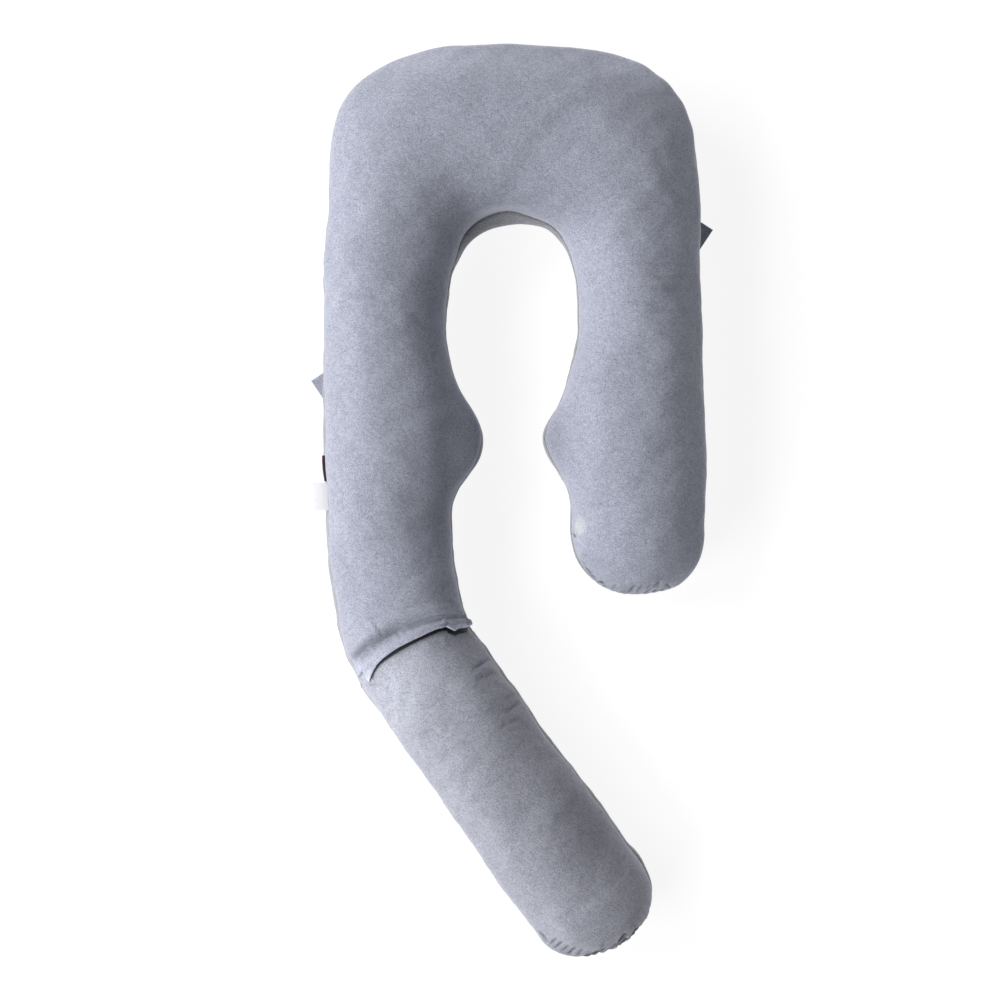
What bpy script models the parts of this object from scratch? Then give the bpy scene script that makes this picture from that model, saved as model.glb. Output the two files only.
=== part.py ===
"""Body pillow: a U of stuffed velvet with a zipped-on tail, lying on its back.

The long way of the pillow is Y, with the head band at +Y; it lies on the plane z = 0.
The U runs from the foot of the short leg (+X) up, round the head band and down the long
leg (-X) to a slanting joint. The tail goes on from there, down and across to +X.
Every cross-section is a straight cut across the tube, from its inner to its outer edge.
"""

import math
from collections import namedtuple

import bmesh
import bpy
import numpy as np
from mathutils import Vector
from mathutils.bvhtree import BVHTree

MM = 0.001

# ---------------------------------------------------------------- driving dimensions (metres)
MIDDLE_X = 2.9 * MM          # line midway between the two legs
HEAD_Y = 322.2 * MM          # centre that the head band turns round
FOOT_LENGTH = 103 * MM       # rounded end of the short leg
FOOT_POWER = 2.2             # 2 is an ellipse, more is squarer
FOOT_DRIFT = 3 * MM          # how far its tip leans to the outer side
TAIL_START = (-171.1 * MM, -217.8 * MM, 0.0)
TAIL_HEADING = 216.1         # direction of the tail's cuts, in degrees from +X
TAIL_END_LENGTH = 98 * MM    # rounded end of the tail
TAIL_END_POWER = 2.2
TAIL_END_DRIFT = -8 * MM
TAIL_JOINT_HEIGHT = 143      # the tail starts lower than the U ends (millimetres)
JOINT_GAP = 0.33 * MM        # between the faces of the U and the tail at the zip
JOINT_LEAN = 0.45            # how far the joint leans back over the U, for each unit of height
LEAN_PIVOT = 77 * MM         # the height at which a leaning cut stays where the table puts it
REST_FROM_END = 0.60         # the part of a rounded end that still lies on its flat bottom
CROWN_POWER = 2.4            # how squarely the crown comes down over a rounded end
END_STEPS = (22, 42, 60, 75, 84)  # where a rounded end has its rings, as angles round it
FIT_ROUNDS = 10              # corrections of the cage under the smoothed surface
NEIGHBOUR_SHARE = 1 / 6      # what a smoothed point takes from each of its two neighbours

FLAP_THICK = 2.0 * MM
STRAP_WIDE = 42 * MM
STRAP_THICK = 2.5 * MM
STRAP_DROP = 26 * MM         # distance over which a strap comes down to the floor
STRAP_ROWS = 5
STRAP_POINTS = 7
LABEL_THICK = 1.0 * MM
TAB_THICK = 2.4 * MM
FABRIC_CLEAR = 0.4 * MM      # a sewn piece stands this far off the cover
SEWN_ROWS = 7
SEWN_CLEAR = 0.2 * MM        # a strip's root stands this far off the bottom of the seam
SEWN_WEDGE = 0.15            # and this share of its thickness more, as the seam narrows
SEAM_SEARCH = 8 * MM         # a sewn piece looks for the seam this far up and down
SEAM_TRIES = 33
BESIDE = -0.5                # X from which the side seam is looked for, in metres

VELVET = (0.30, 0.33, 0.40)
VELVET_ROUGHNESS = 0.9
SATIN = (0.85, 0.85, 0.86)
SATIN_ROUGHNESS = 0.6
BLACK_TAPE = (0.02, 0.02, 0.025)
TAPE_ROUGHNESS = 0.7

# ---------------------------------------------------------------- sections (millimetres, degrees)
# below: how far below the head band's centre the cut crosses the middle line
# angle: direction of the cut, from +X
# inner, outer: the tube's two edges, measured along the cut from the middle line
# height: floor to crown    in_draw, out_draw: how far the side seam is drawn in
# lean: how far the cut leans back over the U, for each unit of height
# lobe: how much of the inner side is a low bulge that the crown doesn't reach over
Cut = namedtuple("Cut", "below angle inner outer height in_draw out_draw lean lobe", defaults=(0,))

SHORT_LEG = [
    Cut(366, 0, 91, 303, 158, 2, 4, 0),
    Cut(334, 0, 91, 305, 163, 2, 4, 0),
    Cut(302, 0, 85, 306, 166, 2, 4, 0),
    Cut(262, 0, 62, 306, 169, 3, 4, 0, 14),
    Cut(222, 0, 46, 305, 171, 4, 4, 0, 26),
    Cut(194, 0, 55, 304, 171, 3, 4, 0, 20),
    Cut(164, 0, 73, 303, 170, 2, 4, 0, 8),
    Cut(119, 0, 87, 301, 168, 2, 4, 0),
    Cut(61, 0, 100, 300, 168, 2, 4, 0),
]
HEAD_BAND = [
    Cut(0, 0, 101, 297, 168, 2, 4, 0),
    Cut(0, 12, 102, 302, 169, 2, 4, 0),
    Cut(0, 24, 106, 324, 171, 2, 4, 0),
    Cut(0, 36, 112, 358, 174, 2, 4, 0),
    Cut(0, 48, 119, 405, 177, 2, 4, 0),
    Cut(0, 60, 125, 421, 179, 4, 4, 0),
    Cut(0, 75, 126, 409, 180, 6, 4, 0),
    Cut(0, 90, 125, 402, 180, 16, 4, 0),
    Cut(0, 105, 124, 410, 180, 18, 4, 0),
    Cut(0, 120, 121, 424, 179, 15, 4, 0),
    Cut(0, 132, 116, 410, 177, 10, 4, 0),
    Cut(0, 144, 110, 363, 174, 4, 4, 0),
    Cut(0, 156, 107, 327, 170, 2, 5, 0),
    Cut(0, 168, 105, 311, 167, 2, 5, 0),
    Cut(0, 180, 105, 305, 165, 2, 6, 0),
]
LONG_LEG = [
    Cut(40, 180, 108, 306, 164, 2, 6, 0),
    Cut(95, 180, 102, 306, 164, 2, 6, 0),
    Cut(143, 180, 86, 306, 165, 2, 6, 0, 4),
    Cut(187, 180, 60, 305, 166, 3, 7, 0, 13),
    Cut(222, 180, 49, 305, 166, 4, 7, 0, 19),
    Cut(262, 180, 62, 306, 164, 3, 8, 0, 13),
    Cut(302, 180, 91, 304, 161, 2, 8, 0),
    Cut(358, 180, 101, 303, 158, 2, 9, 0),
    Cut(413, 180, 96, 298, 156, 2, 9, 0),
    Cut(454, 184.5, 87, 291, 155, 2, 10, 0.12),
    Cut(471, 191.9, 82, 287, 155, 2, 10, 0.25),
    Cut(477, 199.4, 80, 284, 154, 2, 10, 0.36),
    Cut(477, 205.2, 83, 282, 143, 3, 9, 0.42),
    Cut(476, 208.9, 83, 284, 146, 3, 9, JOINT_LEAN),
]

# The tail's cuts: along is measured from TAIL_START down the tail, the rest is as above.
# Its first section is the U's last one, made lower.
TailCut = namedtuple("TailCut", "along angle inner outer height in_draw out_draw lean lobe",
                     defaults=(0,))
TAIL = [
    TailCut(46, 211.3, -96, 105, 147, 2, 8, 0.33),
    TailCut(80, 214, -96, 104, 150, 2, 6, 0.18),
    TailCut(127, TAIL_HEADING, -94, 105, 152, 2, 5, 0.06),
    TailCut(190, TAIL_HEADING, -95, 105, 152, 2, 5, 0),
    TailCut(254, TAIL_HEADING, -94, 106, 152, 2, 5, 0),
    TailCut(318, TAIL_HEADING, -95, 107, 151, 2, 5, 0),
    TailCut(382, TAIL_HEADING, -95, 108, 150, 2, 5, 0),
    TailCut(445, TAIL_HEADING, -95, 110, 148, 2, 5, 0),
    TailCut(496, TAIL_HEADING, -97, 109, 146, 3, 4, 0),
]

# Half of a cross-section, from the middle of the bottom round one side to the crown.
# across: share of the half width    up, out_up: share of the height, inner and outer side
# pull: share of the seam's draw taken off the width    sharp: a line that stays crisp
Rib = namedtuple("Rib", "name across up out_up pull sharp")
HALF_RING = [
    Rib("bottom", 0.00, 0.00, 0.00, 0.0, False),
    Rib("contact_edge", 0.60, 0.00, 0.00, 0.0, True),
    Rib("low_flank", 0.88, 0.13, 0.13, 0.0, False),
    Rib("widest", 1.00, 0.36, 0.38, 0.0, False),
    Rib("seam", 0.99, 0.51, 0.60, 1.0, True),
    Rib("lip", 0.965, 0.63, 0.70, 0.8, False),
    Rib("shoulder", 0.83, 0.775, 0.785, 0.0, False),
    Rib("upper", 0.47, 0.943, 0.943, 0.0, False),
    Rib("crown", 0.00, 1.00, 1.00, 0.0, False),
]
SEAM_UP = 0.51               # rounded ends close at this share of the height
OUTER_SEAM_UP = 0.60         # the outer side's seam runs at this share of the height
LOBE_TOP = 0.7               # a lobe stays below this share of the height
RING = 2 * (len(HALF_RING) - 1)

# Across the flap, from its stitched side to its free edge.
# back: share of the way back from the joint to the stitching
# ahead: share of the way past the joint to the free edge
# lift: millimetres over the U's cover    drop: share of the way down to the free edge
Fold = namedtuple("Fold", "back ahead lift drop")
FLAP_FOLDS = [
    Fold(1.00, 0.00, 2.6, 0.0),
    Fold(0.65, 0.00, 3.2, 0.0),
    Fold(0.30, 0.00, 4.6, 0.0),
    Fold(0.00, 0.10, 6.4, 0.0),
    Fold(0.00, 0.50, 7.0, 0.2),
    Fold(0.00, 0.85, 7.0, 0.5),
    Fold(0.00, 1.00, 6.0, 1.0),
]
# Along the flap. turn: angle round the joint, up from the inner side (degrees)
# back: how far behind the joint it is stitched down    ahead: how far past it it reaches
# rise: height of its free edge over the tail    share: how much of the folds' lift it has
Station = namedtuple("Station", "turn back ahead rise share")
FLAP_STATIONS = [
    Station(6, 10, 7.5, 3.0, 1.3),
    Station(16, 10, 13.0, 3.2, 1.0),
    Station(24, 10, 13.5, 3.3, 1.0),
    Station(31, 11, 17.0, 3.3, 1.0),
    Station(37, 12, 6.0, 4.0, 1.2),
    Station(45, 13, 6.0, 4.3, 1.2),
    Station(65, 16, 7.5, 4.5, 1.2),
    Station(95, 18, 7.0, 5.0, 1.2),
    Station(120, 20, 8.0, 5.0, 1.2),
    Station(130, 20, 9.5, 4.5, 1.0),
    Station(140, 20, 14.5, 3.0, 0.8),
    Station(150, 20, 21.5, 1.8, 0.3),
]
FLAP_STEPS = 28              # strips along the flap
FLAP_CLEAR = 2.6             # the least that the flap stands off the cover (millimetres)
FLAP_LOOK = 1.0              # how far off the joint its two sides are measured (millimetres)

# The straps. corner: the free corner that shows past the pillow's side
# heading: direction of the strap's long edge, from its root to that corner (degrees)
# turn: to the strap's other end corner, +1 is a left turn    root_x: where it is sewn on
Strap = namedtuple("Strap", "name corner_x corner_y heading turn root_x")
STRAPS = [
    Strap("strap_right", 330.1, 447.7, 56.3, 1, 280),
    Strap("strap_left", -330.1, 199.8, 124, -1, -280),
]

# What is caught in the long leg's side seam. y_low, y_high: its ends along the seam
# reach, droop: how far its rows stand out from the seam and hang below it
Sewn = namedtuple("Sewn", "name y_low y_high thick rows")
SIDE_LABEL = Sewn("side_label", -12, 32, LABEL_THICK, [(0, 0), (7, 0.6), (15, 3), (23, 7), (29, 11)])
SEAM_TAB = Sewn("seam_tab", 34, 75, TAB_THICK, [(0, 0), (1.5, -0.3), (3, -0.8), (4.4, -1.5)])


# ---------------------------------------------------------------- helpers
def clear_scene():
    """Take every object out of the open scene."""
    for obj in list(bpy.data.objects):
        bpy.data.objects.remove(obj, do_unlink=True)


def make_collection(name):
    """A collection for the finished parts."""
    collection = bpy.data.collections.new(name)
    bpy.context.scene.collection.children.link(collection)
    return collection


def material(name, color, roughness, metallic=0.0):
    """A plain Principled material."""
    mat = bpy.data.materials.new(name)
    mat.use_nodes = True
    shader = mat.node_tree.nodes["Principled BSDF"]
    shader.inputs["Base Color"].default_value = (*color, 1.0)
    shader.inputs["Roughness"].default_value = roughness
    shader.inputs["Metallic"].default_value = metallic
    return mat


def directions(angle):
    """The unit vectors along a cut and down the tube, for a cut at this angle."""
    turn = math.radians(angle)
    along_cut = np.array((math.cos(turn), math.sin(turn), 0.0))
    down_tube = np.array((-math.sin(turn), math.cos(turn), 0.0))
    return along_cut, down_tube


def ring_sides():
    """The ribs of a whole ring: out along the outer side, back along the inner one."""
    outer = [(rib, 1.0) for rib in HALF_RING]
    inner = [(rib, -1.0) for rib in HALF_RING[-2:0:-1]]
    return outer + inner


def cut_start(cut):
    """The point that a cut of the U is measured from."""
    return np.array((MIDDLE_X, HEAD_Y - cut.below * MM, 0.0))


def tail_start(cut):
    """The point that a cut of the tail is measured from."""
    down_tube = directions(TAIL_HEADING)[1]
    return np.array(TAIL_START) + cut.along * MM * down_tube


def ring_points(cut, start, narrow=1.0, top=1.0, bottom=1.0, ahead=0.0):
    """The points of one cross-section.

    narrow, top and bottom shrink the width, what is above the seam and what is below it;
    ahead moves the whole ring down the tube. A rounded end is made with all four.
    """
    along_cut, down_tube = directions(cut.angle)
    seam_height = SEAM_UP * cut.height * MM
    points = []
    for rib, side in ring_sides():
        inner = cut.inner + (cut.lobe if rib.up > LOBE_TOP else 0)
        middle = 0.5 * (inner + cut.outer) * MM
        half = 0.5 * (cut.outer - inner) * MM
        draw = (cut.out_draw if side > 0 else cut.in_draw) * MM
        across = side * (rib.across * half - rib.pull * draw) * narrow
        up = rib.out_up if side > 0 else rib.up
        rise = up * cut.height * MM - seam_height
        rise *= top if rise > 0 else bottom
        height = seam_height + rise
        shift = ahead - cut.lean * (height - LEAN_PIVOT)
        point = start + (middle + across) * along_cut + shift * down_tube
        point[2] = height
        points.append(point)
    return points


def end_rings(cut, start, length, power, heading, drift):
    """The shrinking rings of a rounded end; heading is -1 at the pillow's first end."""
    along_cut = directions(cut.angle)[0]
    rings = []
    for step in END_STEPS:
        share = math.sin(math.radians(step))
        narrow = (1 - share ** power) ** (1 / power)
        top = (1 - share ** CROWN_POWER) ** (1 / CROWN_POWER)
        past_rest = max(0.0, (share - REST_FROM_END) / (1 - REST_FROM_END))
        bottom = math.sqrt(1 - past_rest ** 2)
        ahead = heading * share * length
        aside = start + drift * share ** 2 * along_cut
        rings.append(ring_points(cut, aside, narrow, top, bottom, ahead))
    return rings


def blend_row(rows, weight):
    """Each row mixed with its two neighbours, as a smoothed surface mixes them."""
    before = np.roll(rows, 1, axis=0)
    after = np.roll(rows, -1, axis=0)
    return (1 - 2 * weight) * rows + weight * (before + after)


def smoothed(cage, sharp_rib, flat_ends):
    """Where Subdivision Surface leaves the cage's own points."""
    weight = NEIGHBOUR_SHARE
    around = np.swapaxes(blend_row(np.swapaxes(cage, 0, 1), weight), 0, 1)
    around[:, sharp_rib] = cage[:, sharp_rib]
    along = blend_row(around, weight)
    for end, flat in zip((0, -1), flat_ends):
        nearer = around[1] if end == 0 else around[-2]
        pole = around[end].mean(axis=0)
        rounded = (1 - 2 * weight) * around[end] + weight * (nearer + pole)
        along[end] = around[end] if flat else rounded
    return along


def grown_cage(target, sharp_rib, flat_ends):
    """A cage set outside its sections, so that the smoothed surface runs through them."""
    cage = target.copy()
    for _ in range(FIT_ROUNDS):
        cage += target - smoothed(cage, sharp_rib, flat_ends)
        cage[..., 2] = np.maximum(cage[..., 2], 0.0)
    return cage


def loft_object(name, rings, flat_ends, mat, collection):
    """A closed, smoothed solid through the rings; flat_ends says which end faces stay flat."""
    sharp_rib = np.array([rib.sharp for rib, _ in ring_sides()])
    cage = grown_cage(np.array(rings), sharp_rib, flat_ends)
    bm = bmesh.new()
    crease = bm.edges.layers.float.new("crease_edge")
    grid = [[bm.verts.new(point) for point in ring] for ring in cage]
    for here, there in zip(grid, grid[1:]):
        for i in range(RING):
            j = (i + 1) % RING
            bm.faces.new((here[i], here[j], there[j], there[i]))
    for end in (0, -1):
        bm.faces.new(grid[end])
    for here, there in zip(grid, grid[1:]):
        for i in np.flatnonzero(sharp_rib):
            bm.edges.get((here[i], there[i]))[crease] = 1.0
    for end, flat in zip((0, -1), flat_ends):
        if flat:
            for i in range(RING):
                bm.edges.get((grid[end][i], grid[end][(i + 1) % RING]))[crease] = 1.0
    bmesh.ops.recalc_face_normals(bm, faces=bm.faces)
    obj = mesh_object(name, bm, mat, collection)
    smooth = obj.modifiers.new("Stuffing", "SUBSURF")
    smooth.levels = 1
    smooth.render_levels = 1
    return obj


def mesh_object(name, bm, mat, collection):
    """An object from a bmesh, shaded smooth, with its material."""
    mesh = bpy.data.meshes.new(name)
    bm.to_mesh(mesh)
    bm.free()
    mesh.shade_smooth()
    mesh.materials.append(mat)
    obj = bpy.data.objects.new(name, mesh)
    collection.objects.link(obj)
    return obj


def sheet_object(name, rows, thick, mat, collection):
    """A sheet of cloth: a grid of points given thickness on both sides."""
    bm = bmesh.new()
    grid = [[bm.verts.new(point) for point in row] for row in rows]
    for here, there in zip(grid, grid[1:]):
        for i in range(len(here) - 1):
            bm.faces.new((here[i], here[i + 1], there[i + 1], there[i]))
    obj = mesh_object(name, bm, mat, collection)
    solid = obj.modifiers.new("Cloth", "SOLIDIFY")
    solid.thickness = thick
    solid.offset = 0.0
    solid.use_even_offset = True
    return obj


def surface_of(obj):
    """The smoothed surface of an object, for laying other pieces on."""
    bpy.context.view_layer.update()
    return BVHTree.FromObject(obj, bpy.context.evaluated_depsgraph_get())


# ---------------------------------------------------------------- the pieces
def build_pillow_body(mat, collection):
    """The U: rounded foot, short leg, head band and long leg, flat at the joint."""
    first = SHORT_LEG[0]
    foot = end_rings(first, cut_start(first), FOOT_LENGTH, FOOT_POWER, -1, FOOT_DRIFT)
    rings = foot[::-1]
    rings += [ring_points(cut, cut_start(cut)) for cut in SHORT_LEG + HEAD_BAND + LONG_LEG]
    return loft_object("pillow_body", rings, (False, True), mat, collection)


def build_pillow_tail(mat, collection):
    """The zipped-on lower section: flat at the joint, rounded at its far end."""
    joint = LONG_LEG[-1]._replace(height=TAIL_JOINT_HEIGHT)
    last = TAIL[-1]
    rings = [ring_points(joint, cut_start(joint), ahead=JOINT_GAP)]
    rings += [ring_points(cut, tail_start(cut)) for cut in TAIL]
    rings += end_rings(last, tail_start(last), TAIL_END_LENGTH, TAIL_END_POWER, 1, TAIL_END_DRIFT)
    return loft_object("pillow_tail", rings, (True, False), mat, collection)


def flap_station(turn):
    """The flap's sizes at one angle round the joint, between the table's stations."""
    turns = [station.turn for station in FLAP_STATIONS]
    columns = list(zip(*FLAP_STATIONS))
    return Station(*(float(np.interp(turn, turns, column)) for column in columns))


def build_joint_flap(body, tail, mat, collection):
    """The placket over the zip: sewn down on the U, its free edge standing over the tail."""
    cut = LONG_LEG[-1]
    covers = {"U": surface_of(body), "tail": surface_of(tail)}
    along_cut, down_tube = directions(cut.angle)
    centre = cut_start(cut) + 0.5 * (cut.inner + cut.outer) * MM * along_cut
    centre[2] = LEAN_PIVOT
    upward = np.array((0, 0, 1.0)) - cut.lean * down_tube

    def reach(cover, along, outward):
        return covers[cover].ray_cast(Vector(centre + along * MM * down_tube), Vector(outward))[3] / MM

    rows = []
    for fold in FLAP_FOLDS:
        row = []
        for turn in np.linspace(FLAP_STATIONS[0].turn, FLAP_STATIONS[-1].turn, FLAP_STEPS + 1):
            here = flap_station(turn)
            along = fold.ahead * here.ahead - fold.back * here.back
            outward = math.sin(math.radians(turn)) * upward
            outward = outward - math.cos(math.radians(turn)) * along_cut
            outward /= np.linalg.norm(outward)
            lift = FLAP_CLEAR + (fold.lift - FLAP_CLEAR) * here.share
            over_u = reach("U", min(along, -FLAP_LOOK), outward) + lift
            over_tail = reach("tail", max(along, FLAP_LOOK), outward) + here.rise
            out = over_u + (over_tail - over_u) * fold.drop + 0.5 * FLAP_THICK / MM
            row.append(centre + along * MM * down_tube + out * MM * outward)
        rows.append(row)
    return sheet_object("joint_flap", rows, FLAP_THICK, mat, collection)


def build_strap(strap, body, mat, collection):
    """A strap sewn under the pillow's side, coming down to the floor, its corner in view."""
    surface = surface_of(body)
    heading = math.radians(strap.heading)
    long_way = Vector((math.cos(heading), math.sin(heading), 0.0))
    end_way = Vector((-long_way.y, long_way.x, 0.0)) * strap.turn
    corner = Vector((strap.corner_x * MM, strap.corner_y * MM, 0.0))
    on_floor = FABRIC_CLEAR + 0.5 * STRAP_THICK
    rows = []
    for across in np.linspace(0, STRAP_WIDE, STRAP_ROWS):
        end = corner + float(across) * end_way
        root = end - long_way * ((end.x - strap.root_x * MM) / long_way.x)
        flank = surface.ray_cast(root, Vector((0, 0, 1)))[0].z
        root_height = flank - FABRIC_CLEAR - 0.5 * STRAP_THICK
        row = []
        for share in np.linspace(0, 1, STRAP_POINTS):
            point = root.lerp(end, float(share))
            fall = min(1.0, abs(point.x - root.x) / STRAP_DROP)
            fall = fall * fall * (3 - 2 * fall)
            point.z = root_height + (on_floor - root_height) * fall
            row.append(point)
        rows.append(row)
    return sheet_object(strap.name, rows, STRAP_THICK, mat, collection)


def seam_point(surface, y):
    """The bottom of the long leg's outer seam groove at y: where the flank lies deepest."""
    cut = min(LONG_LEG, key=lambda cut: abs(cut_start(cut)[1] - y))
    middle = OUTER_SEAM_UP * cut.height * MM
    heights = np.linspace(middle - SEAM_SEARCH, middle + SEAM_SEARCH, SEAM_TRIES)
    casts = [surface.ray_cast(Vector((BESIDE, y, z)), Vector((1, 0, 0)))[0] for z in heights]
    dents = [low.x + high.x - 2 * here.x for low, here, high in zip(casts, casts[1:], casts[2:])]
    return casts[1 + dents.index(min(dents))]


def build_sewn(sewn, body, mat, collection):
    """A strip caught in the long leg's side seam, standing out from it."""
    surface = surface_of(body)
    root_gap = SEWN_CLEAR + SEWN_WEDGE * sewn.thick
    rows = []
    for y in np.linspace(sewn.y_low, sewn.y_high, SEWN_ROWS) * MM:
        root = seam_point(surface, float(y)) - Vector((root_gap, 0, 0))
        rows.append([root - Vector((reach * MM, 0, droop * MM)) for reach, droop in sewn.rows])
    return sheet_object(sewn.name, rows, sewn.thick, mat, collection)


def main():
    """Build every piece."""
    clear_scene()
    parts = make_collection("body_pillow")
    body = build_pillow_body(material("body_velvet", VELVET, VELVET_ROUGHNESS), parts)
    tail = build_pillow_tail(material("tail_velvet", VELVET, VELVET_ROUGHNESS), parts)
    build_joint_flap(body, tail, material("flap_velvet", VELVET, VELVET_ROUGHNESS), parts)
    for strap in STRAPS:
        cloth = material(strap.name + "_velvet", VELVET, VELVET_ROUGHNESS)
        build_strap(strap, body, cloth, parts)
    build_sewn(SIDE_LABEL, body, material("label_satin", SATIN, SATIN_ROUGHNESS), parts)
    build_sewn(SEAM_TAB, body, material("tab_weave", BLACK_TAPE, TAPE_ROUGHNESS), parts)


main()
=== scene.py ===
# %% [markdown]
# # A U-shaped body pillow with a zipped-on tail
#
# The real pillow is a velvet cover in two panels, an upper and a lower one, joined by one
# seam that runs all the way round its side, and stuffed until it is firm. Its solids are
# already packed as a fixed frame. This lesson dresses them: the stuffed limbs with their
# creases and gathers, the cloth flap over the joint, the straps, the label and the tab.
# Everything is in metres, in the frame's own place, so nothing has to be fitted later.

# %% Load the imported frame
import math
from collections import namedtuple
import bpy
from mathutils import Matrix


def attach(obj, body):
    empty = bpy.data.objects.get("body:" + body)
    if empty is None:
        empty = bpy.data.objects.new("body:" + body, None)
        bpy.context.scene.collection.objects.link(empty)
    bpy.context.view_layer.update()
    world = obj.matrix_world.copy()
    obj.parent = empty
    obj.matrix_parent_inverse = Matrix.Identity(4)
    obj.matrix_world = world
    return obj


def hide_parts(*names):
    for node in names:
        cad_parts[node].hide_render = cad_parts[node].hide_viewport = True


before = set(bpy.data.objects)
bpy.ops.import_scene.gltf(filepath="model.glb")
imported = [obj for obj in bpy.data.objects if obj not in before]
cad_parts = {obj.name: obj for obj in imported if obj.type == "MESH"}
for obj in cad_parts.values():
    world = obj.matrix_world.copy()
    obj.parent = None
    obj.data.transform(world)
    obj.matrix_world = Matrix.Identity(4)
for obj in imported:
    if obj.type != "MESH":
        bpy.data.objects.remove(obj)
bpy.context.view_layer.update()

from types import SimpleNamespace

import bmesh
import bpy
import numpy as np
from mathutils import Vector
from mathutils.bvhtree import BVHTree
from mathutils.kdtree import KDTree

MM = 0.001
print("nodes:", ", ".join(sorted(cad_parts)))

# %% [markdown]
# ## The camera
# The pillow lies on its back and is seen from straight above. A camera with no turn looks
# down its own -Z, which is what is wanted here. Its height and its lens are chosen so that
# one picture pixel is 1.59 mm at the height where the limbs are widest, because the whole
# pillow, 1.45 m long, is 912 pixels long in the picture.

# %% Place the camera
PICTURE_WIDTH = 997
PICTURE_HEIGHT = 996
PIXEL = 1.45 / 912                   # metres, at WIDEST_HEIGHT
WIDEST_HEIGHT = 0.085
CAMERA_HEIGHT = 2.6
CAMERA_X = -0.0222
CAMERA_Y = 0.0076
FOCAL_PIXELS = (CAMERA_HEIGHT - WIDEST_HEIGHT) / PIXEL
SENSOR = 36.0


def in_scene(name, data):
    """A new object in the scene, with this mesh, lamp or camera."""
    made = bpy.data.objects.new(name, data)
    bpy.context.scene.collection.objects.link(made)
    return made


camera_data = bpy.data.cameras.new("camera")
camera_data.sensor_fit = "HORIZONTAL"
camera_data.sensor_width = SENSOR
camera_data.lens = FOCAL_PIXELS / PICTURE_WIDTH * SENSOR
camera = in_scene("camera", camera_data)
camera.location = (CAMERA_X, CAMERA_Y, CAMERA_HEIGHT)
bpy.context.scene.camera = camera


def in_picture(points):
    """Where points of the model fall in the picture, in pixels from its top left corner."""
    scale = FOCAL_PIXELS / (CAMERA_HEIGHT - points[..., 2])
    across = 0.5 * PICTURE_WIDTH + scale * (points[..., 0] - CAMERA_X)
    down = 0.5 * PICTURE_HEIGHT - scale * (points[..., 1] - CAMERA_Y)
    return np.stack((across, down), axis=-1)


print(f"lens {camera_data.lens:.1f} mm, {CAMERA_HEIGHT} m above the floor")

# %% [markdown]
# ## Floor and light
# Two very large soft lights from the left, one for the head's half and one for the tail's,
# give the picture's shading: pale left flanks, darker right ones. They are six to seven
# metres away, because near ones would leave the tail darker than the head. Two weak, low
# reflectors on the right show the outermost strip of the right flanks. The floor glows a
# little, as a sheet of white paper on a light table does: it throws light back up, which
# keeps the right flanks from going black, and it hides the pillow's own shadow.

# %% Build the studio
FLOOR_HALF = 40.0
FLOOR_GLOW = 0.87
FLOOR_COLOR = (0.20, 0.20, 0.202, 1.0)
WHITE = (1.0, 1.0, 1.0, 1.0)
SKY_GLOW = 0.11
Lamp = namedtuple("Lamp", "name place aim size power")
LAMPS = [
    Lamp("big_window", (-5.3, 2.5, 3.7), (0.0, 0.0, 0.08), (5.0, 4.0), 490.0),
    Lamp("side_window", (-4.9, -3.4, 3.5), (0.0, 0.0, 0.08), (4.0, 4.0), 395.0),
    Lamp("upper_reflector", (4.2, 3.2, 0.9), (0.1, 0.1, 0.08), (4.0, 1.6), 34.0),
    Lamp("lower_reflector", (4.4, -2.0, 0.9), (0.1, 0.0, 0.08), (3.0, 1.6), 24.0),
]


def put(node, inputs):
    """Give a node its inputs; each is a value or a socket of another node."""
    for key, value in inputs.items():
        if isinstance(value, bpy.types.NodeSocket):
            node.id_data.links.new(value, node.inputs[key])
        else:
            node.inputs[key].default_value = value


def new_finish(name, roughness):
    """A new material, with its nodes and its Principled shader."""
    finish = bpy.data.materials.new(name)
    finish.use_nodes = True
    shader = finish.node_tree.nodes["Principled BSDF"]
    put(shader, {"Roughness": roughness})
    return finish, finish.node_tree, shader


floor_mesh = bpy.data.meshes.new("floor")
corners = [(x * FLOOR_HALF, y * FLOOR_HALF, 0) for x, y in ((-1, -1), (1, -1), (1, 1), (-1, 1))]
floor_mesh.from_pydata(corners, [], [(0, 1, 2, 3)])
floor_paper, _, paper_shader = new_finish("floor_paper", 0.9)
put(paper_shader, {"Base Color": FLOOR_COLOR, "Emission Color": WHITE,
                   "Emission Strength": FLOOR_GLOW})
floor_mesh.materials.append(floor_paper)
in_scene("floor", floor_mesh)

for lamp in LAMPS:
    light = bpy.data.lights.new(lamp.name, "AREA")
    light.shape = "RECTANGLE"
    light.size, light.size_y = lamp.size
    light.energy = lamp.power
    holder = in_scene(lamp.name, light)
    holder.location = lamp.place
    holder.rotation_mode = "QUATERNION"
    looking = Vector(lamp.aim) - Vector(lamp.place)
    holder.rotation_quaternion = looking.to_track_quat("-Z", "Y")

world = bpy.data.worlds.new("studio")
world.use_nodes = True
put(world.node_tree.nodes["Background"], {"Color": WHITE, "Strength": SKY_GLOW})
bpy.context.scene.world = world
bpy.context.scene.view_settings.view_transform = "Standard"
print("lamps:", ", ".join(lamp.name for lamp in LAMPS))

# %% [markdown]
# ## The limbs' sections
# A stuffed tube is easiest to describe by its cross-sections. Each row below is one cut
# across the tube, with the same sizes that the solids were made from: where the cut is,
# which way it runs, its inner and outer edge, its height, and how far the seam pulls the
# side in. A spline through the cuts then gives as fine a surface as is wanted.

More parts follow.
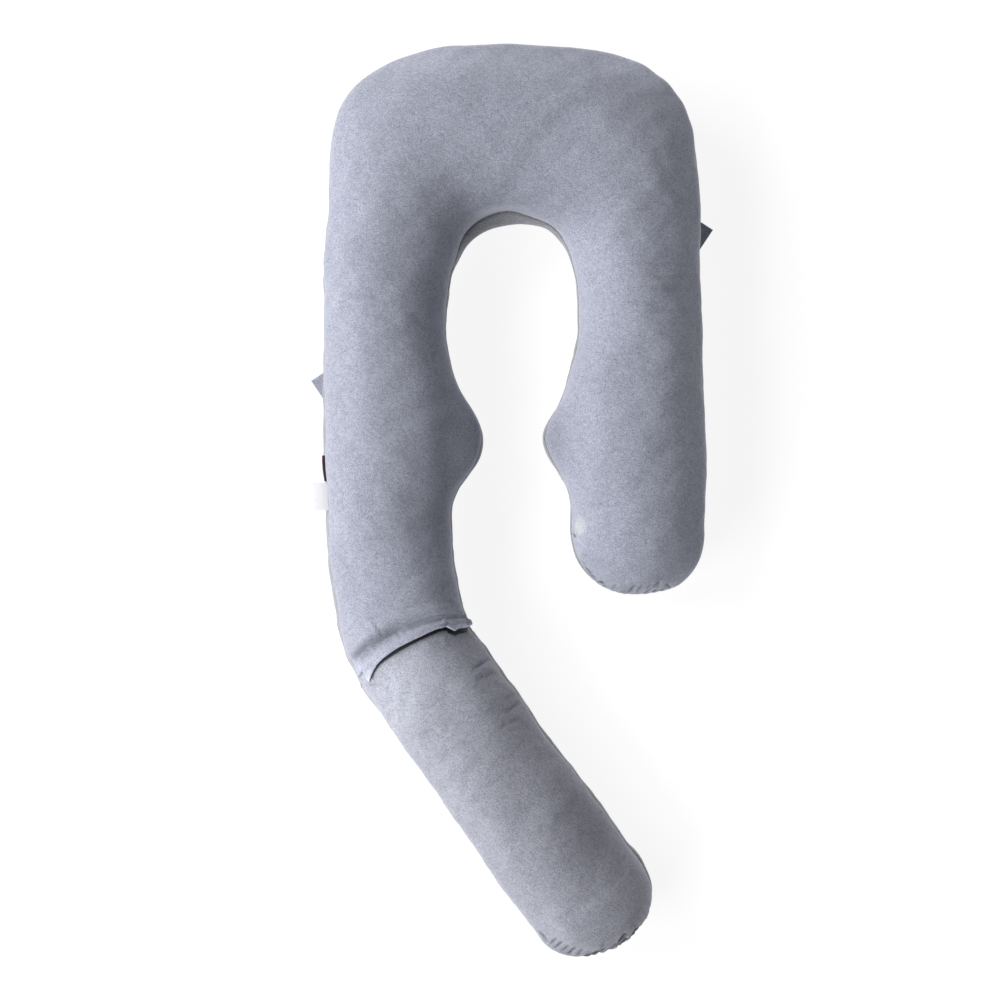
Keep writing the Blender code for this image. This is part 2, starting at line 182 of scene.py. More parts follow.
# %% The sizes of every cut (millimetres, degrees)
MIDDLE_X = 2.9 * MM
HEAD_Y = 322.2 * MM
FOOT_LENGTH = 103 * MM
FOOT_POWER = 2.2
FOOT_DRIFT = 3 * MM
TAIL_START = (-171.1 * MM, -217.8 * MM, 0.0)
TAIL_HEADING = 216.1
TAIL_END_LENGTH = 98 * MM
TAIL_END_POWER = 2.2
TAIL_END_DRIFT = -8 * MM
TAIL_JOINT_HEIGHT = 143
JOINT_LEAN = 0.45
LEAN_PIVOT = 77 * MM
REST_FROM_END = 0.60
CROWN_POWER = 2.4
SEAM_UP = 0.51
LOBE_TOP = 0.7
GROOVE_SHARE = 2                     # of each draw, what is left to the seam's own groove

Cut = namedtuple("Cut", "below angle inner outer height in_draw out_draw lean lobe", defaults=(0,))
SHORT_LEG = [
    Cut(366, 0, 91, 303, 158, 2, 4, 0),
    Cut(334, 0, 91, 305, 163, 2, 4, 0),
    Cut(302, 0, 85, 306, 166, 2, 4, 0),
    Cut(262, 0, 62, 306, 169, 3, 4, 0, 14),
    Cut(222, 0, 46, 305, 171, 4, 4, 0, 26),
    Cut(194, 0, 55, 304, 171, 3, 4, 0, 20),
    Cut(164, 0, 73, 303, 170, 2, 4, 0, 8),
    Cut(119, 0, 87, 301, 168, 2, 4, 0),
    Cut(61, 0, 100, 300, 168, 2, 4, 0),
]
HEAD_BAND = [
    Cut(0, 0, 101, 297, 168, 2, 4, 0),
    Cut(0, 12, 102, 302, 169, 2, 4, 0),
    Cut(0, 24, 106, 324, 171, 2, 4, 0),
    Cut(0, 36, 112, 358, 174, 2, 4, 0),
    Cut(0, 48, 119, 405, 177, 2, 4, 0),
    Cut(0, 60, 125, 421, 179, 4, 4, 0),
    Cut(0, 75, 126, 409, 180, 6, 4, 0),
    Cut(0, 90, 125, 402, 180, 16, 4, 0),
    Cut(0, 105, 124, 410, 180, 18, 4, 0),
    Cut(0, 120, 121, 424, 179, 15, 4, 0),
    Cut(0, 132, 116, 410, 177, 10, 4, 0),
    Cut(0, 144, 110, 363, 174, 4, 4, 0),
    Cut(0, 156, 107, 327, 170, 2, 5, 0),
    Cut(0, 168, 105, 311, 167, 2, 5, 0),
    Cut(0, 180, 105, 305, 165, 2, 6, 0),
]
LONG_LEG = [
    Cut(40, 180, 108, 306, 164, 2, 6, 0),
    Cut(95, 180, 102, 306, 164, 2, 6, 0),
    Cut(143, 180, 86, 306, 165, 2, 6, 0, 4),
    Cut(187, 180, 60, 305, 166, 3, 7, 0, 13),
    Cut(222, 180, 49, 305, 166, 4, 7, 0, 19),
    Cut(262, 180, 62, 306, 164, 3, 8, 0, 13),
    Cut(302, 180, 91, 304, 161, 2, 8, 0),
    Cut(358, 180, 101, 303, 158, 2, 9, 0),
    Cut(413, 180, 96, 298, 156, 2, 9, 0),
    Cut(454, 184.5, 87, 291, 155, 2, 10, 0.12),
    Cut(471, 191.9, 82, 287, 155, 2, 10, 0.25),
    Cut(477, 199.4, 80, 284, 154, 2, 10, 0.36),
    Cut(477, 205.2, 83, 282, 143, 3, 9, 0.42),
    Cut(476, 208.9, 83, 284, 146, 3, 9, JOINT_LEAN),
]
TailCut = namedtuple("TailCut", "along angle inner outer height in_draw out_draw lean lobe",
                     defaults=(0,))
TAIL = [
    TailCut(46, 211.3, -96, 105, 147, 2, 8, 0.33),
    TailCut(80, 214, -96, 104, 150, 2, 6, 0.18),
    TailCut(127, TAIL_HEADING, -94, 105, 152, 2, 5, 0.06),
    TailCut(190, TAIL_HEADING, -95, 105, 152, 2, 5, 0),
    TailCut(254, TAIL_HEADING, -94, 106, 152, 2, 5, 0),
    TailCut(318, TAIL_HEADING, -95, 107, 151, 2, 5, 0),
    TailCut(382, TAIL_HEADING, -95, 108, 150, 2, 5, 0),
    TailCut(445, TAIL_HEADING, -95, 110, 148, 2, 5, 0),
    TailCut(496, TAIL_HEADING, -97, 109, 146, 3, 4, 0),
]

# Half of a cross-section: share of the half width, shares of the height on the inner and
# the outer side, share of the seam's draw
Rib = namedtuple("Rib", "name across up out_up pull")
HALF_RING = [
    Rib("bottom", 0.00, 0.00, 0.00, 0.0),
    Rib("contact_edge", 0.60, 0.00, 0.00, 0.0),
    Rib("low_flank", 0.88, 0.13, 0.13, 0.0),
    Rib("widest", 1.00, 0.36, 0.38, 0.0),
    Rib("seam", 0.99, 0.51, 0.60, 1.0),
    Rib("lip", 0.965, 0.63, 0.70, 0.8),
    Rib("shoulder", 0.83, 0.775, 0.785, 0.0),
    Rib("upper", 0.47, 0.943, 0.943, 0.0),
    Rib("crown", 0.00, 1.00, 1.00, 0.0),
]
print(len(SHORT_LEG + HEAD_BAND + LONG_LEG), "cuts in the U,", len(TAIL), "in the tail")

# %% [markdown]
# ## From cuts to a fine surface
# Each cut gives sixteen rib points. A natural cubic spline is the curve that a thin batten
# takes through fixed points, so it is a good guess at how stuffed cloth runs from one cut
# to the next. Written as a matrix of weights, it is worked out once and then used for all
# ribs together, first along the tube and then around it.

# %% Rings and splines


def directions(angle):
    """The unit vectors along a cut and down the tube."""
    turn = math.radians(angle)
    along_cut = np.array((math.cos(turn), math.sin(turn), 0.0))
    down_tube = np.array((-math.sin(turn), math.cos(turn), 0.0))
    return along_cut, down_tube


def ring_points(cut, start, narrow=1.0, top=1.0, bottom=1.0, ahead=0.0):
    """The sixteen rib points of one cut; narrow, top, bottom and ahead make a rounded end."""
    along_cut, down_tube = directions(cut.angle)
    seam_height = SEAM_UP * cut.height * MM
    outer_side = [(rib, 1.0, cut.out_draw) for rib in HALF_RING]
    inner_side = [(rib, -1.0, cut.in_draw) for rib in HALF_RING[-2:0:-1]]
    points = []
    for rib, side, draw in outer_side + inner_side:
        inner = cut.inner + (cut.lobe if rib.up > LOBE_TOP else 0)
        middle = 0.5 * (inner + cut.outer) * MM
        half = 0.5 * (cut.outer - inner) * MM
        drawn = rib.pull * (draw - GROOVE_SHARE) * MM
        across = side * (rib.across * half - drawn) * narrow
        up = rib.out_up if side > 0 else rib.up
        rise = up * cut.height * MM - seam_height
        rise *= top if rise > 0 else bottom
        height = seam_height + rise
        shift = ahead - cut.lean * (height - LEAN_PIVOT)
        point = start + (middle + across) * along_cut + shift * down_tube
        point[2] = height
        points.append(point)
    return points


def cut_start(cut):
    """Where a cut of the U is measured from."""
    return np.array((MIDDLE_X, HEAD_Y - cut.below * MM, 0.0))


def tail_start(cut):
    """Where a cut of the tail is measured from."""
    return np.array(TAIL_START) + cut.along * MM * directions(TAIL_HEADING)[1]


def end_rings(cut, start, length, power, heading, drift):
    """The shrinking rings of a rounded end, whose tip drifts to one side."""
    along_cut = directions(cut.angle)[0]
    rings = []
    for step in END_STEPS:
        share = math.sin(math.radians(step))
        narrow = (1 - share ** power) ** (1 / power)
        top = (1 - share ** CROWN_POWER) ** (1 / CROWN_POWER)
        past_rest = max(0.0, (share - REST_FROM_END) / (1 - REST_FROM_END))
        bottom = math.sqrt(1 - past_rest ** 2)
        aside = start + drift * share ** 2 * along_cut
        rings.append(ring_points(cut, aside, narrow, top, bottom, heading * share * length))
    return rings


def reach_along(points):
    """How far along a line each of its points lies."""
    steps = np.linalg.norm(np.diff(points, axis=0), axis=1)
    return np.concatenate(([0.0], np.cumsum(steps)))


def spline_weights(knots, places):
    """The matrix that turns values at the knots into a natural cubic spline at the places."""
    count = len(knots)
    gaps = np.diff(knots)
    system = np.eye(count)
    bends = np.zeros((count, count))
    for i in range(1, count - 1):
        system[i, i - 1:i + 2] = gaps[i - 1] / 6, (gaps[i - 1] + gaps[i]) / 3, gaps[i] / 6
        bends[i, i - 1:i + 2] = 1 / gaps[i - 1], -1 / gaps[i - 1] - 1 / gaps[i], 1 / gaps[i]
    curving = np.linalg.solve(system, bends)
    left = np.clip(np.searchsorted(knots, places, side="right") - 1, 0, count - 2)
    gap = gaps[left]
    near = (knots[left + 1] - places) / gap
    far = 1 - near
    rows = np.arange(len(places))
    weights = np.zeros((len(places), count))
    weights[rows, left] += near
    weights[rows, left + 1] += far
    weights += ((near ** 3 - near) * gap ** 2 / 6)[:, None] * curving[left]
    weights += ((far ** 3 - far) * gap ** 2 / 6)[:, None] * curving[left + 1]
    return weights


# %% [markdown]
# ### Rows along and columns around
# The cloth needs small squares where something happens: at the side seam, at the rounded
# ends and at the joint. Elsewhere about 4 mm is enough, and under the pillow, where it
# lies flat, far less.

# %% Spacing of the fine grid
ALONG_STEP = 4.0 * MM
TOP_STEP = 3.9 * MM
FLANK_STEP = 5.0 * MM
BOTTOM_COUNT = 14
SEAM_OFFSETS = np.array((1.2, 2.6, 4.3, 6.5, 9.2)) * MM
JOINT_OFFSETS = np.array((0, 0.7, 1.7, 3, 4.4, 5.8, 7.2, 8.6, 10, 11.4, 13, 15, 17, 19, 21,
                          24)) * MM
END_STEPS = np.arange(1.6, 88.7, 1.0)  # rings of a rounded end, close enough for its gathers


def around_weights():
    """The matrix from sixteen ribs to the fine columns, and the columns of the two seams."""
    typical = ring_points(Cut(0, 90, -100, 100, 160, 4, 4, 0), np.zeros(3))
    reach = reach_along(np.array(typical + typical[:1]))
    seam_out, seam_in, around = reach[[4, 12, 16]]

    def rising(contact, seam):
        """Columns up a flank, from where it leaves the floor to just under its seam."""
        flank = np.arange(contact, seam - SEAM_OFFSETS[-1] - FLANK_STEP / 2, FLANK_STEP)
        return np.concatenate((flank, seam - SEAM_OFFSETS[::-1]))

    under = np.linspace(0.0, reach[1], BOTTOM_COUNT // 2 + 1)[:-1]
    outer_flank = rising(reach[1], seam_out)
    inner_flank = rising(around - reach[15], around - seam_in)
    top_count = round((seam_in - seam_out - 2 * SEAM_OFFSETS[-1]) / TOP_STEP) + 1
    middle = np.linspace(seam_out + SEAM_OFFSETS[-1], seam_in - SEAM_OFFSETS[-1], top_count)
    over = np.concatenate(([seam_out], seam_out + SEAM_OFFSETS[:-1], middle,
                           seam_in - SEAM_OFFSETS[-2::-1]))
    falling = np.concatenate(([seam_in], around - inner_flank[::-1]))
    under_in = around - under[:0:-1]

    def arc(places, first, last):
        """Weights of one smooth arc, from one rib to another, in all sixteen columns."""
        weights = np.zeros((len(places), 16))
        part = spline_weights(reach[first:last + 1], places)
        for column, rib in enumerate(range(first, last + 1)):
            weights[:, rib % 16] += part[:, column]
        return weights

    arcs = [arc(under, 0, 1), arc(outer_flank, 0, 4), arc(over, 4, 12), arc(falling, 12, 16)]
    arcs.append(arc(under_in, 15, 16))
    first_seam = len(under) + len(outer_flank)
    return np.concatenate(arcs), first_seam, first_seam + len(over)


AROUND, SEAM_OUT, SEAM_IN = around_weights()
COLUMNS = len(AROUND)
print(COLUMNS, "columns around, seams at columns", SEAM_OUT, "and", SEAM_IN)


def limb_grid(rings, joint_first, end_before=(), end_after=()):
    """The fine surface through a limb's cuts, as a grid of rows along and columns around."""
    rings = np.array(rings)
    reach = reach_along(rings.mean(axis=1))
    joint = JOINT_OFFSETS if joint_first else reach[-1] - JOINT_OFFSETS[::-1]
    first, last = (joint[-1], reach[-1]) if joint_first else (0.0, joint[0])
    plain = np.linspace(first, last, round((last - first) / ALONG_STEP) + 1)
    places = np.concatenate((joint, plain[1:]) if joint_first else (plain[:-1], joint))
    fine = np.einsum("pr,rbk->pbk", spline_weights(reach, places), rings)
    stack = [np.array(part) for part in (end_before, fine, end_after) if len(part)]
    grid = np.einsum("pbk,cb->pck", np.concatenate(stack), AROUND)
    grid[..., 2] = np.maximum(grid[..., 2], 0.0)
    return grid


# %% Fine surface of the U and of the tail
JOINT_CLEAR = 0.5 * MM
u_cuts = SHORT_LEG + HEAD_BAND + LONG_LEG
u_rings = [ring_points(cut, cut_start(cut)) for cut in u_cuts]
foot = end_rings(u_cuts[0], cut_start(u_cuts[0]), FOOT_LENGTH, FOOT_POWER, -1, FOOT_DRIFT)
joint_cut = LONG_LEG[-1]._replace(height=TAIL_JOINT_HEIGHT)
tail_rings = [ring_points(joint_cut, cut_start(joint_cut), ahead=JOINT_CLEAR)]
tail_rings += [ring_points(cut, tail_start(cut)) for cut in TAIL]
tip = end_rings(TAIL[-1], tail_start(TAIL[-1]), TAIL_END_LENGTH, TAIL_END_POWER, 1,
                TAIL_END_DRIFT)
u_limb = SimpleNamespace(name="pillow_u", node="pillow_body", joint_first=False,
                         grid=limb_grid(u_rings, False, end_before=foot[::-1]))
tail_limb = SimpleNamespace(name="pillow_tail_cover", node="pillow_tail", joint_first=True,
                            grid=limb_grid(tail_rings, True, end_after=tip))
LIMBS = (u_limb, tail_limb)
for limb in LIMBS:
    print(limb.name, "grid", limb.grid.shape[:2])

# %% [markdown]
# ## Where every point lies from the seam
# Gathers, the groove and the pale line of the seam all depend on two numbers: how far
# along the seam a point is, and how far off it. The seam is sampled as one line, down one
# side, round the tip and back, and a KD-tree finds the nearest sample for every point.

# %% Normals, the seam line and the distance to it
SEAM_SAMPLE = 0.8 * MM


def unit(vectors):
    """The same vectors with length one."""
    return vectors / np.maximum(np.linalg.norm(vectors, axis=-1, keepdims=True), 1e-12)


def outward(grid):
    """Unit normals of a grid that is closed around, pointing out of the tube."""
    around = np.roll(grid, -1, axis=1) - np.roll(grid, 1, axis=1)
    normals = unit(np.cross(np.gradient(grid, axis=0), around))
    from_middle = grid - grid.mean(axis=1, keepdims=True)
    return normals * np.sign(np.sum(normals * from_middle))


def resampled(points, step):
    """The same line with points an even step apart, and how far along it they lie."""
    reach = reach_along(points)
    places = np.linspace(0.0, reach[-1], max(2, round(reach[-1] / step) + 1))
    return np.stack([np.interp(places, reach, points[:, k]) for k in range(3)], axis=1), places


def seam_of(limb):
    """The side seam from the joint, down the inner side, round the tip and back."""
    rows = limb.grid if limb.joint_first else limb.grid[::-1]
    line, places = resampled(np.concatenate((rows[:, SEAM_IN], rows[::-1, SEAM_OUT])),
                             SEAM_SAMPLE)
    return line, places, resampled(rows[:, SEAM_IN], SEAM_SAMPLE)[1][-1]


def off_seam(limb):
    """For each point of the grid: the place along the seam next to it, and how far off."""
    tree = KDTree(len(limb.seam))
    for i, point in enumerate(limb.seam):
        tree.insert(point, i)
    tree.balance()
    found = [tree.find(point)[1:] for point in limb.grid.reshape(-1, 3)]
    nearest, distance = np.array([(limb.places[index], gap) for index, gap in found]).T
    return nearest.reshape(limb.grid.shape[:2]), distance.reshape(limb.grid.shape[:2])


for limb in LIMBS:
    limb.normals = outward(limb.grid)
    limb.seam, limb.places, limb.tip = seam_of(limb)
    limb.near, limb.off = off_seam(limb)
    print(f"{limb.name}: seam of {limb.places[-1]:.2f} m")

# %% [markdown]
# ## Wrinkles from a cloth simulation
# Stuffed cloth settles into soft dents and tension lines that nobody would place by hand.
# A coarser copy of each limb is blown up a little with Cloth pressure while its seam is
# drawn together, as thread and stuffing do. Only the short waves of the result are kept,
# and they are capped, so that the limb keeps its measured outline.

# %% Simulate the covers
SIM_FRAMES = 20
SIM_PRESSURE = 4.0
SEAM_SHRINK = 0.10
COVER_HOLD = 0.4                     # how firmly the stuffing holds the cover in its place
WRINKLE_CAP = 4.0 * MM
KEEP_SHORTER = 5                     # blur radius in coarse rows; longer waves are dropped
COVER_CLOTH = {"quality": 5, "mass": 0.3, "tension_stiffness": 100, "compression_stiffness": 100,
               "shear_stiffness": 50, "bending_stiffness": 8, "vertex_group_mass": "stuffed",
               "pin_stiffness": 0.5, "use_pressure": True,
               "uniform_pressure_force": SIM_PRESSURE, "vertex_group_shrink": "drawn",
               "shrink_max": SEAM_SHRINK}


def grid_faces(rows, columns):
    """Quads of a grid that is closed around."""
    i, j = np.meshgrid(np.arange(rows - 1), np.arange(columns), indexing="ij")
    k = (j + 1) % columns
    quads = np.stack((i * columns + j, i * columns + k, (i + 1) * columns + k,
                      (i + 1) * columns + j), axis=-1)
    return quads.reshape(-1, 4).tolist()


def capped(grid):
    """Points and faces of a grid that is closed around, and closed at both ends."""
    rows, columns = grid.shape[:2]
    points = np.concatenate((grid.reshape(-1, 3), [grid[0].mean(0), grid[-1].mean(0)]))
    faces = grid_faces(rows, columns)
    last = (rows - 1) * columns
    around = [(c, (c + 1) % columns) for c in range(columns)]
    faces += [(c, d, rows * columns) for c, d in around]
    faces += [(last + d, last + c, rows * columns + 1) for c, d in around]
    return points, faces


def blurred(field, rounds):
    """A field on the grid with its short waves taken out."""
    for _ in range(rounds):
        field = 0.5 * field + 0.25 * (np.roll(field, 1, axis=1) + np.roll(field, -1, axis=1))
        padded = np.concatenate((field[:1], field, field[-1:]))
        field = 0.5 * field + 0.25 * (padded[:-2] + padded[2:])
    return field


def wrinkles(limb):
    """How far the simulated cover stands out or in, short waves only, on the fine grid."""
    row_pick = np.unique(np.append(np.arange(0, len(limb.grid), 2), len(limb.grid) - 1))
    column_pick = [c for c in range(0, COLUMNS, 2)
                   if min(abs(c - SEAM_OUT), abs(c - SEAM_IN)) > 1]
    column_pick = np.array(sorted(column_pick + [SEAM_OUT, SEAM_IN]))
    coarse = limb.grid[row_pick][:, column_pick]
    rows, columns = coarse.shape[:2]
    points, faces = capped(coarse)
    mesh = bpy.data.meshes.new(limb.name + "_coarse")
    mesh.from_pydata(points, [], faces)
    cover = in_scene(mesh.name, mesh)
    seams = np.flatnonzero(np.isin(column_pick, (SEAM_OUT, SEAM_IN)))
    seam_points = [int(r * columns + c) for r in range(rows) for c in seams]
    cover.vertex_groups.new(name="drawn").add(seam_points, 1.0, "REPLACE")
    cover.vertex_groups.new(name="stuffed").add(list(range(len(points))), COVER_HOLD, "REPLACE")
    cloth = cover.modifiers.new("Cloth", "CLOTH").settings
    for setting, value in COVER_CLOTH.items():
        setattr(cloth, setting, value)
    cloth.effector_weights.gravity = 0.0
    scene = bpy.context.scene
    for step in range(1, SIM_FRAMES + 1):
        scene.frame_set(step)
    settled = cover.evaluated_get(bpy.context.evaluated_depsgraph_get()).data
    moved = np.zeros(len(points) * 3)
    settled.vertices.foreach_get("co", moved)
    moved = moved.reshape(-1, 3)[:rows * columns].reshape(coarse.shape)
    scene.frame_set(1)
    bpy.data.objects.remove(cover, do_unlink=True)
    stand = np.sum((moved - coarse) * limb.normals[row_pick][:, column_pick], axis=2)
    short = np.clip(stand - blurred(stand, 2 * KEEP_SHORTER ** 2), -WRINKLE_CAP, WRINKLE_CAP)
    back_rows = spline_weights(row_pick.astype(float), np.arange(len(limb.grid), dtype=float))
    wrap = np.append(column_pick, column_pick[0] + COLUMNS).astype(float)
    back_columns = spline_weights(wrap, np.clip(np.arange(float(COLUMNS)), wrap[0], wrap[-1]))
    print(f"{limb.name}: moved {1000 * np.abs(stand).mean():.1f} mm on average,",
          f"wrinkles {1000 * short.std():.2f} mm")
    return back_rows @ np.column_stack((short, short[:, :1])) @ back_columns.T


for limb in LIMBS:
    limb.wrinkles = wrinkles(limb)

# %% [markdown]
# ## Gathers, creases and the seam's groove
# A seam's thread is a little shorter than the cloth it holds, so the cloth stands in small
# folds across it, close together where the seam turns sharply round an end. Each gather is
# a short trough that starts at the seam and fades inward, and slants as the machine's feed
# pushed it. The larger creases are placed one by one, where the picture shows them.

# %% Gathers along a seam
# How the gathers slant, how deep they are at the tip (mm), where the random numbers start,
# and how far to one side of the tip the deep ones lie
Gather = namedtuple("Gather", "slant strength seed shift")
u_limb.gather = Gather(0.7, 1.2, 11, -25 * MM)
tail_limb.gather = Gather(-0.8, 2.4, 12, 35 * MM)
# The shade painted into a gather grows with GATHER_SHADE times its depth over its width.
GATHER_SHADE = 2.2                   # its sides nearly touch, so a gather is darker than deep
ROUND_REACH = 90 * MM
TIGHT_RADIUS = 0.11                  # a seam that turns this sharply is fully gathered
TURN_SAMPLES = 24                    # how far apart the seam's directions are compared
TURN_BLUR = 61
SHORT_GATHER = 8                     # length in millimetres, along a side
LONG_GATHER = 44                     # and what is added to it at the tip
GATHER_NEAR = 60 * MM                # no gather reaches further along the seam than this


def soft_noise(points, wavelength, seed, waves=28):
    """A smooth random field over space, about 1 at most, made of a few plane waves."""
    random = np.random.default_rng(seed)
    ways = random.normal(size=(waves, 3))
    ways /= np.linalg.norm(ways, axis=1, keepdims=True)
    lengths = wavelength * random.uniform(0.7, 1.5, waves)
    phases = random.uniform(0, 2 * math.pi, waves)
    field = np.zeros(points.shape[:-1])
    for way, length, phase in zip(ways, lengths, phases):
        field += np.sin(points @ way * (2 * math.pi / length) + phase)
    return field / math.sqrt(waves / 2)


def turning(limb):
    """How sharply the seam turns at each sample: 1 or more where it is fully gathered."""
    step = TURN_SAMPLES
    ahead = np.roll(limb.seam, -step, axis=0) - limb.seam
    behind = limb.seam - np.roll(limb.seam, step, axis=0)
    cross = np.linalg.norm(np.cross(ahead, behind), axis=1)
    size = np.linalg.norm(ahead, axis=1) * np.linalg.norm(behind, axis=1)
    bend = cross / np.maximum(size, 1e-12) / (step * (limb.places[1] - limb.places[0]))
    bend[:step] = bend[step]
    bend[-step:] = bend[-step - 1]
    return np.convolve(bend, np.ones(TURN_BLUR) / TURN_BLUR, mode="same") * TIGHT_RADIUS


def round_end(limb, places):
    """1 where the seam is gathered round a tip, 0 from about 12 cm away on."""
    return np.exp(-(np.abs(places - limb.tip) / ROUND_REACH) ** 4)


def gathers(limb):
    """Depth of all the gathers of one limb, and the shade painted into them, at every point of its
    grid.
    """
    random = np.random.default_rng(limb.gather.seed)
    bend = turning(limb)
    fields = np.zeros((2,) + limb.off.shape)
    place = 6 * MM
    count = 0
    while place < limb.places[-1]:
        tight = min(1.0, bend[np.searchsorted(limb.places, place)])
        end = round_end(limb, place)
        depth = (0.2 + 0.1 * tight + limb.gather.strength * end) * random.uniform(0.3, 1.0) * MM
        length = random.uniform(0.6, 1.0) * (SHORT_GATHER + LONG_GATHER * end) * MM
        width = random.uniform(1.8, 2.8) * (1 + 1.5 * (1 - tight)) * MM
        lean = limb.gather.slant * random.uniform(0.6, 1.3) + random.normal() * 0.15
        close = (limb.off < 2.5 * length) & (np.abs(limb.near - place) < GATHER_NEAR)
        off = limb.off[close]
        away = limb.near[close] - place - lean * off
        shape = np.exp(-(away / width) ** 2) * np.exp(-(off / length) ** 3)
        # The first field is the depth; the second is the shade painted into the gather.
        fields[:, close] += np.array(((depth,), (GATHER_SHADE * depth / width,))) * shape
        place += random.uniform(5, 11) * (1 + 1.5 * (1 - tight)) * MM
        count += 1
    print(limb.name, "has", count, "gathers")
    return fields


for limb in LIMBS:
    limb.tip += limb.gather.shift
    limb.folds = gathers(limb)

# %% Creases one by one
# From one end to the other, in picture pixels; width and depth in millimetres.
# A depth below zero is a ridge. Each crease also paints its shade into the colour, and each ridge
# a painted highlight.
Crease = namedtuple("Crease", "x0 y0 x1 y1 width depth")
CREASES = [Crease(*row) for row in (
    # long leg, above the flap
    (338, 292, 381, 300, 4.5, 1.0), (440, 592, 455, 577, 3.5, 1.3),
    (443, 599, 465, 609, 3.5, 1.0), (448, 605, 467, 616, 3.0, 0.9),
    (344, 606, 353, 603, 2.5, -0.6), (368, 621, 379, 638, 2.0, -1.5),
    (371, 621, 382, 638, 2.4, 1.6), (350, 663, 371, 646, 7.0, 3.6),
    (369, 647, 404, 630, 7.0, 3.4), (402, 631, 445, 612, 7.0, 1.2),
    (349, 656, 371, 631, 7.0, -1.8),
    # short leg
    (632, 263, 695, 265, 3.6, 0.8), (640, 275, 693, 278, 3.6, 0.7),
    (650, 288, 697, 289, 3.6, 0.8), (626, 304, 660, 303, 3.6, 0.7),
    (646, 309, 695, 311, 3.6, 0.8), (585, 338, 615, 345, 3.2, -0.7),
    (587, 504, 612, 504, 2.6, 0.9), (577, 537, 583, 545, 1.8, -1.3),
    (572, 532, 576, 538, 1.5, 2.6),
    # tail
    (366, 686, 382, 685, 3.0, 1.4), (449, 633, 458, 628, 1.8, 3.0),
    (456, 628, 469, 628, 1.8, 2.6), (424, 642, 432, 650, 3.0, -0.8),
    (440, 636, 447, 645, 3.4, -1.2), (472, 671, 492, 655, 2.6, 2.6),
    (476, 679, 499, 671, 2.8, 1.8), (504, 700, 519, 691, 2.8, 1.8),
    (504, 714, 522, 700, 2.8, 2.0), (499, 728, 522, 717, 2.8, 1.4),
    (403, 730, 424, 737, 4.0, 0.8),
    # round the tail's tip
    (538, 931, 548, 942, 1.8, 2.8), (550, 944, 557, 938, 1.6, 2.0),
    (555, 948, 563, 941, 1.7, 2.4), (562, 951, 569, 945, 1.6, 1.8),
    (568, 954, 576, 947, 1.7, 2.6), (577, 955, 583, 949, 1.6, 2.0),
    (584, 957, 591, 951, 1.6, 1.8), (591, 957, 598, 951, 1.7, 2.4),
    (597, 956, 606, 948, 1.8, 2.8), (604, 955, 611, 948, 1.6, 2.0),
    (608, 952, 617, 943, 1.9, 2.8), (617, 947, 626, 932, 2.3, 3.8),
    (621, 945, 629, 936, 1.8, 2.2), (630, 937, 640, 926, 2.1, 3.6),
    (635, 933, 645, 921, 1.8, 2.4),
    # round the foot
    (579, 558, 586, 566, 1.7, 1.4), (584, 566, 592, 574, 1.7, 1.7),
    (591, 574, 598, 580, 1.7, 1.4), (599, 580, 607, 586, 1.7, 1.6),
    (612, 588, 617, 584, 1.6, 1.3), (629, 592, 635, 585, 1.7, 1.5),
    (637, 592, 643, 585, 1.7, 1.8), (646, 591, 652, 584, 1.7, 1.7),
    (654, 589, 660, 582, 1.7, 1.5), (667, 584, 671, 589, 1.8, 2.2),
)]


def creases(grid, normals, table):
    """Depth of the placed creases, and the shade painted into them (below 0, a painted highlight),
    at every point that the camera can see.
    """
    seen = in_picture(grid)
    facing = np.clip(normals[..., 2] * 4, 0.0, 1.0)
    fields = np.zeros((2,) + grid.shape[:2])
    for crease in table:
        start = np.array((crease.x0, crease.y0), float)
        course = np.array((crease.x1, crease.y1), float) - start
        share = np.clip((seen - start) @ course / (course @ course), 0.0, 1.0)
        away = np.linalg.norm(seen - start - share[..., None] * course, axis=2) * PIXEL / MM
        taper = np.clip(4 * share * (1 - share), 0.0, 1.0) ** 0.5
        shape = crease.depth * taper * np.exp(-(away / crease.width) ** 2)
        fields += np.array((MM * shape, shape / crease.width))
    return fields * facing


for limb in LIMBS:
    pressed = creases(limb.grid, limb.normals, CREASES)
    limb.folds += pressed
    print(limb.name, "has creases up to", round(1000 * float(pressed[0].max()), 1), "mm deep")

# %% [markdown]
# ## The finished limbs
# Everything that stands out or in is added up along the surface's own direction. At the
# joint the cover tucks in over a rounded shoulder, because the zip draws it together, and
# under the pillow nothing goes below the floor.

# %% Put the limbs together
GROOVE_DEPTH = 1.5 * MM
GROOVE_WIDTH = 5.0 * MM
SEAM_RIDGE = 0.9 * MM
SEAM_RIDGE_WIDTH = 0.9 * MM
u_limb.shoulder = 3 * MM
tail_limb.shoulder = 9 * MM
LUMP_SEEDS = (3, 4)
WRINKLE_SHARE = 0.3


def shoulder(limb):
    """How far the cover is drawn in near the joint: a quarter circle, none on the outer side."""
    near = np.zeros(len(limb.grid))
    near[:len(JOINT_OFFSETS)] = np.clip(1 - JOINT_OFFSETS / limb.shoulder, 0.0, 1.0)
    near = (near if limb.joint_first else near[::-1])[:, None]
    joint_row = limb.grid[0 if limb.joint_first else -1]
    across = joint_row[:, :2] @ directions(LONG_LEG[-1].angle)[0][:2]
    share = (across - across.min()) / (across.max() - across.min())
    fade = np.clip((0.94 - share) / 0.10, 0.0, 1.0)
    return limb.shoulder * (1 - np.sqrt(1 - near ** 2)) * fade


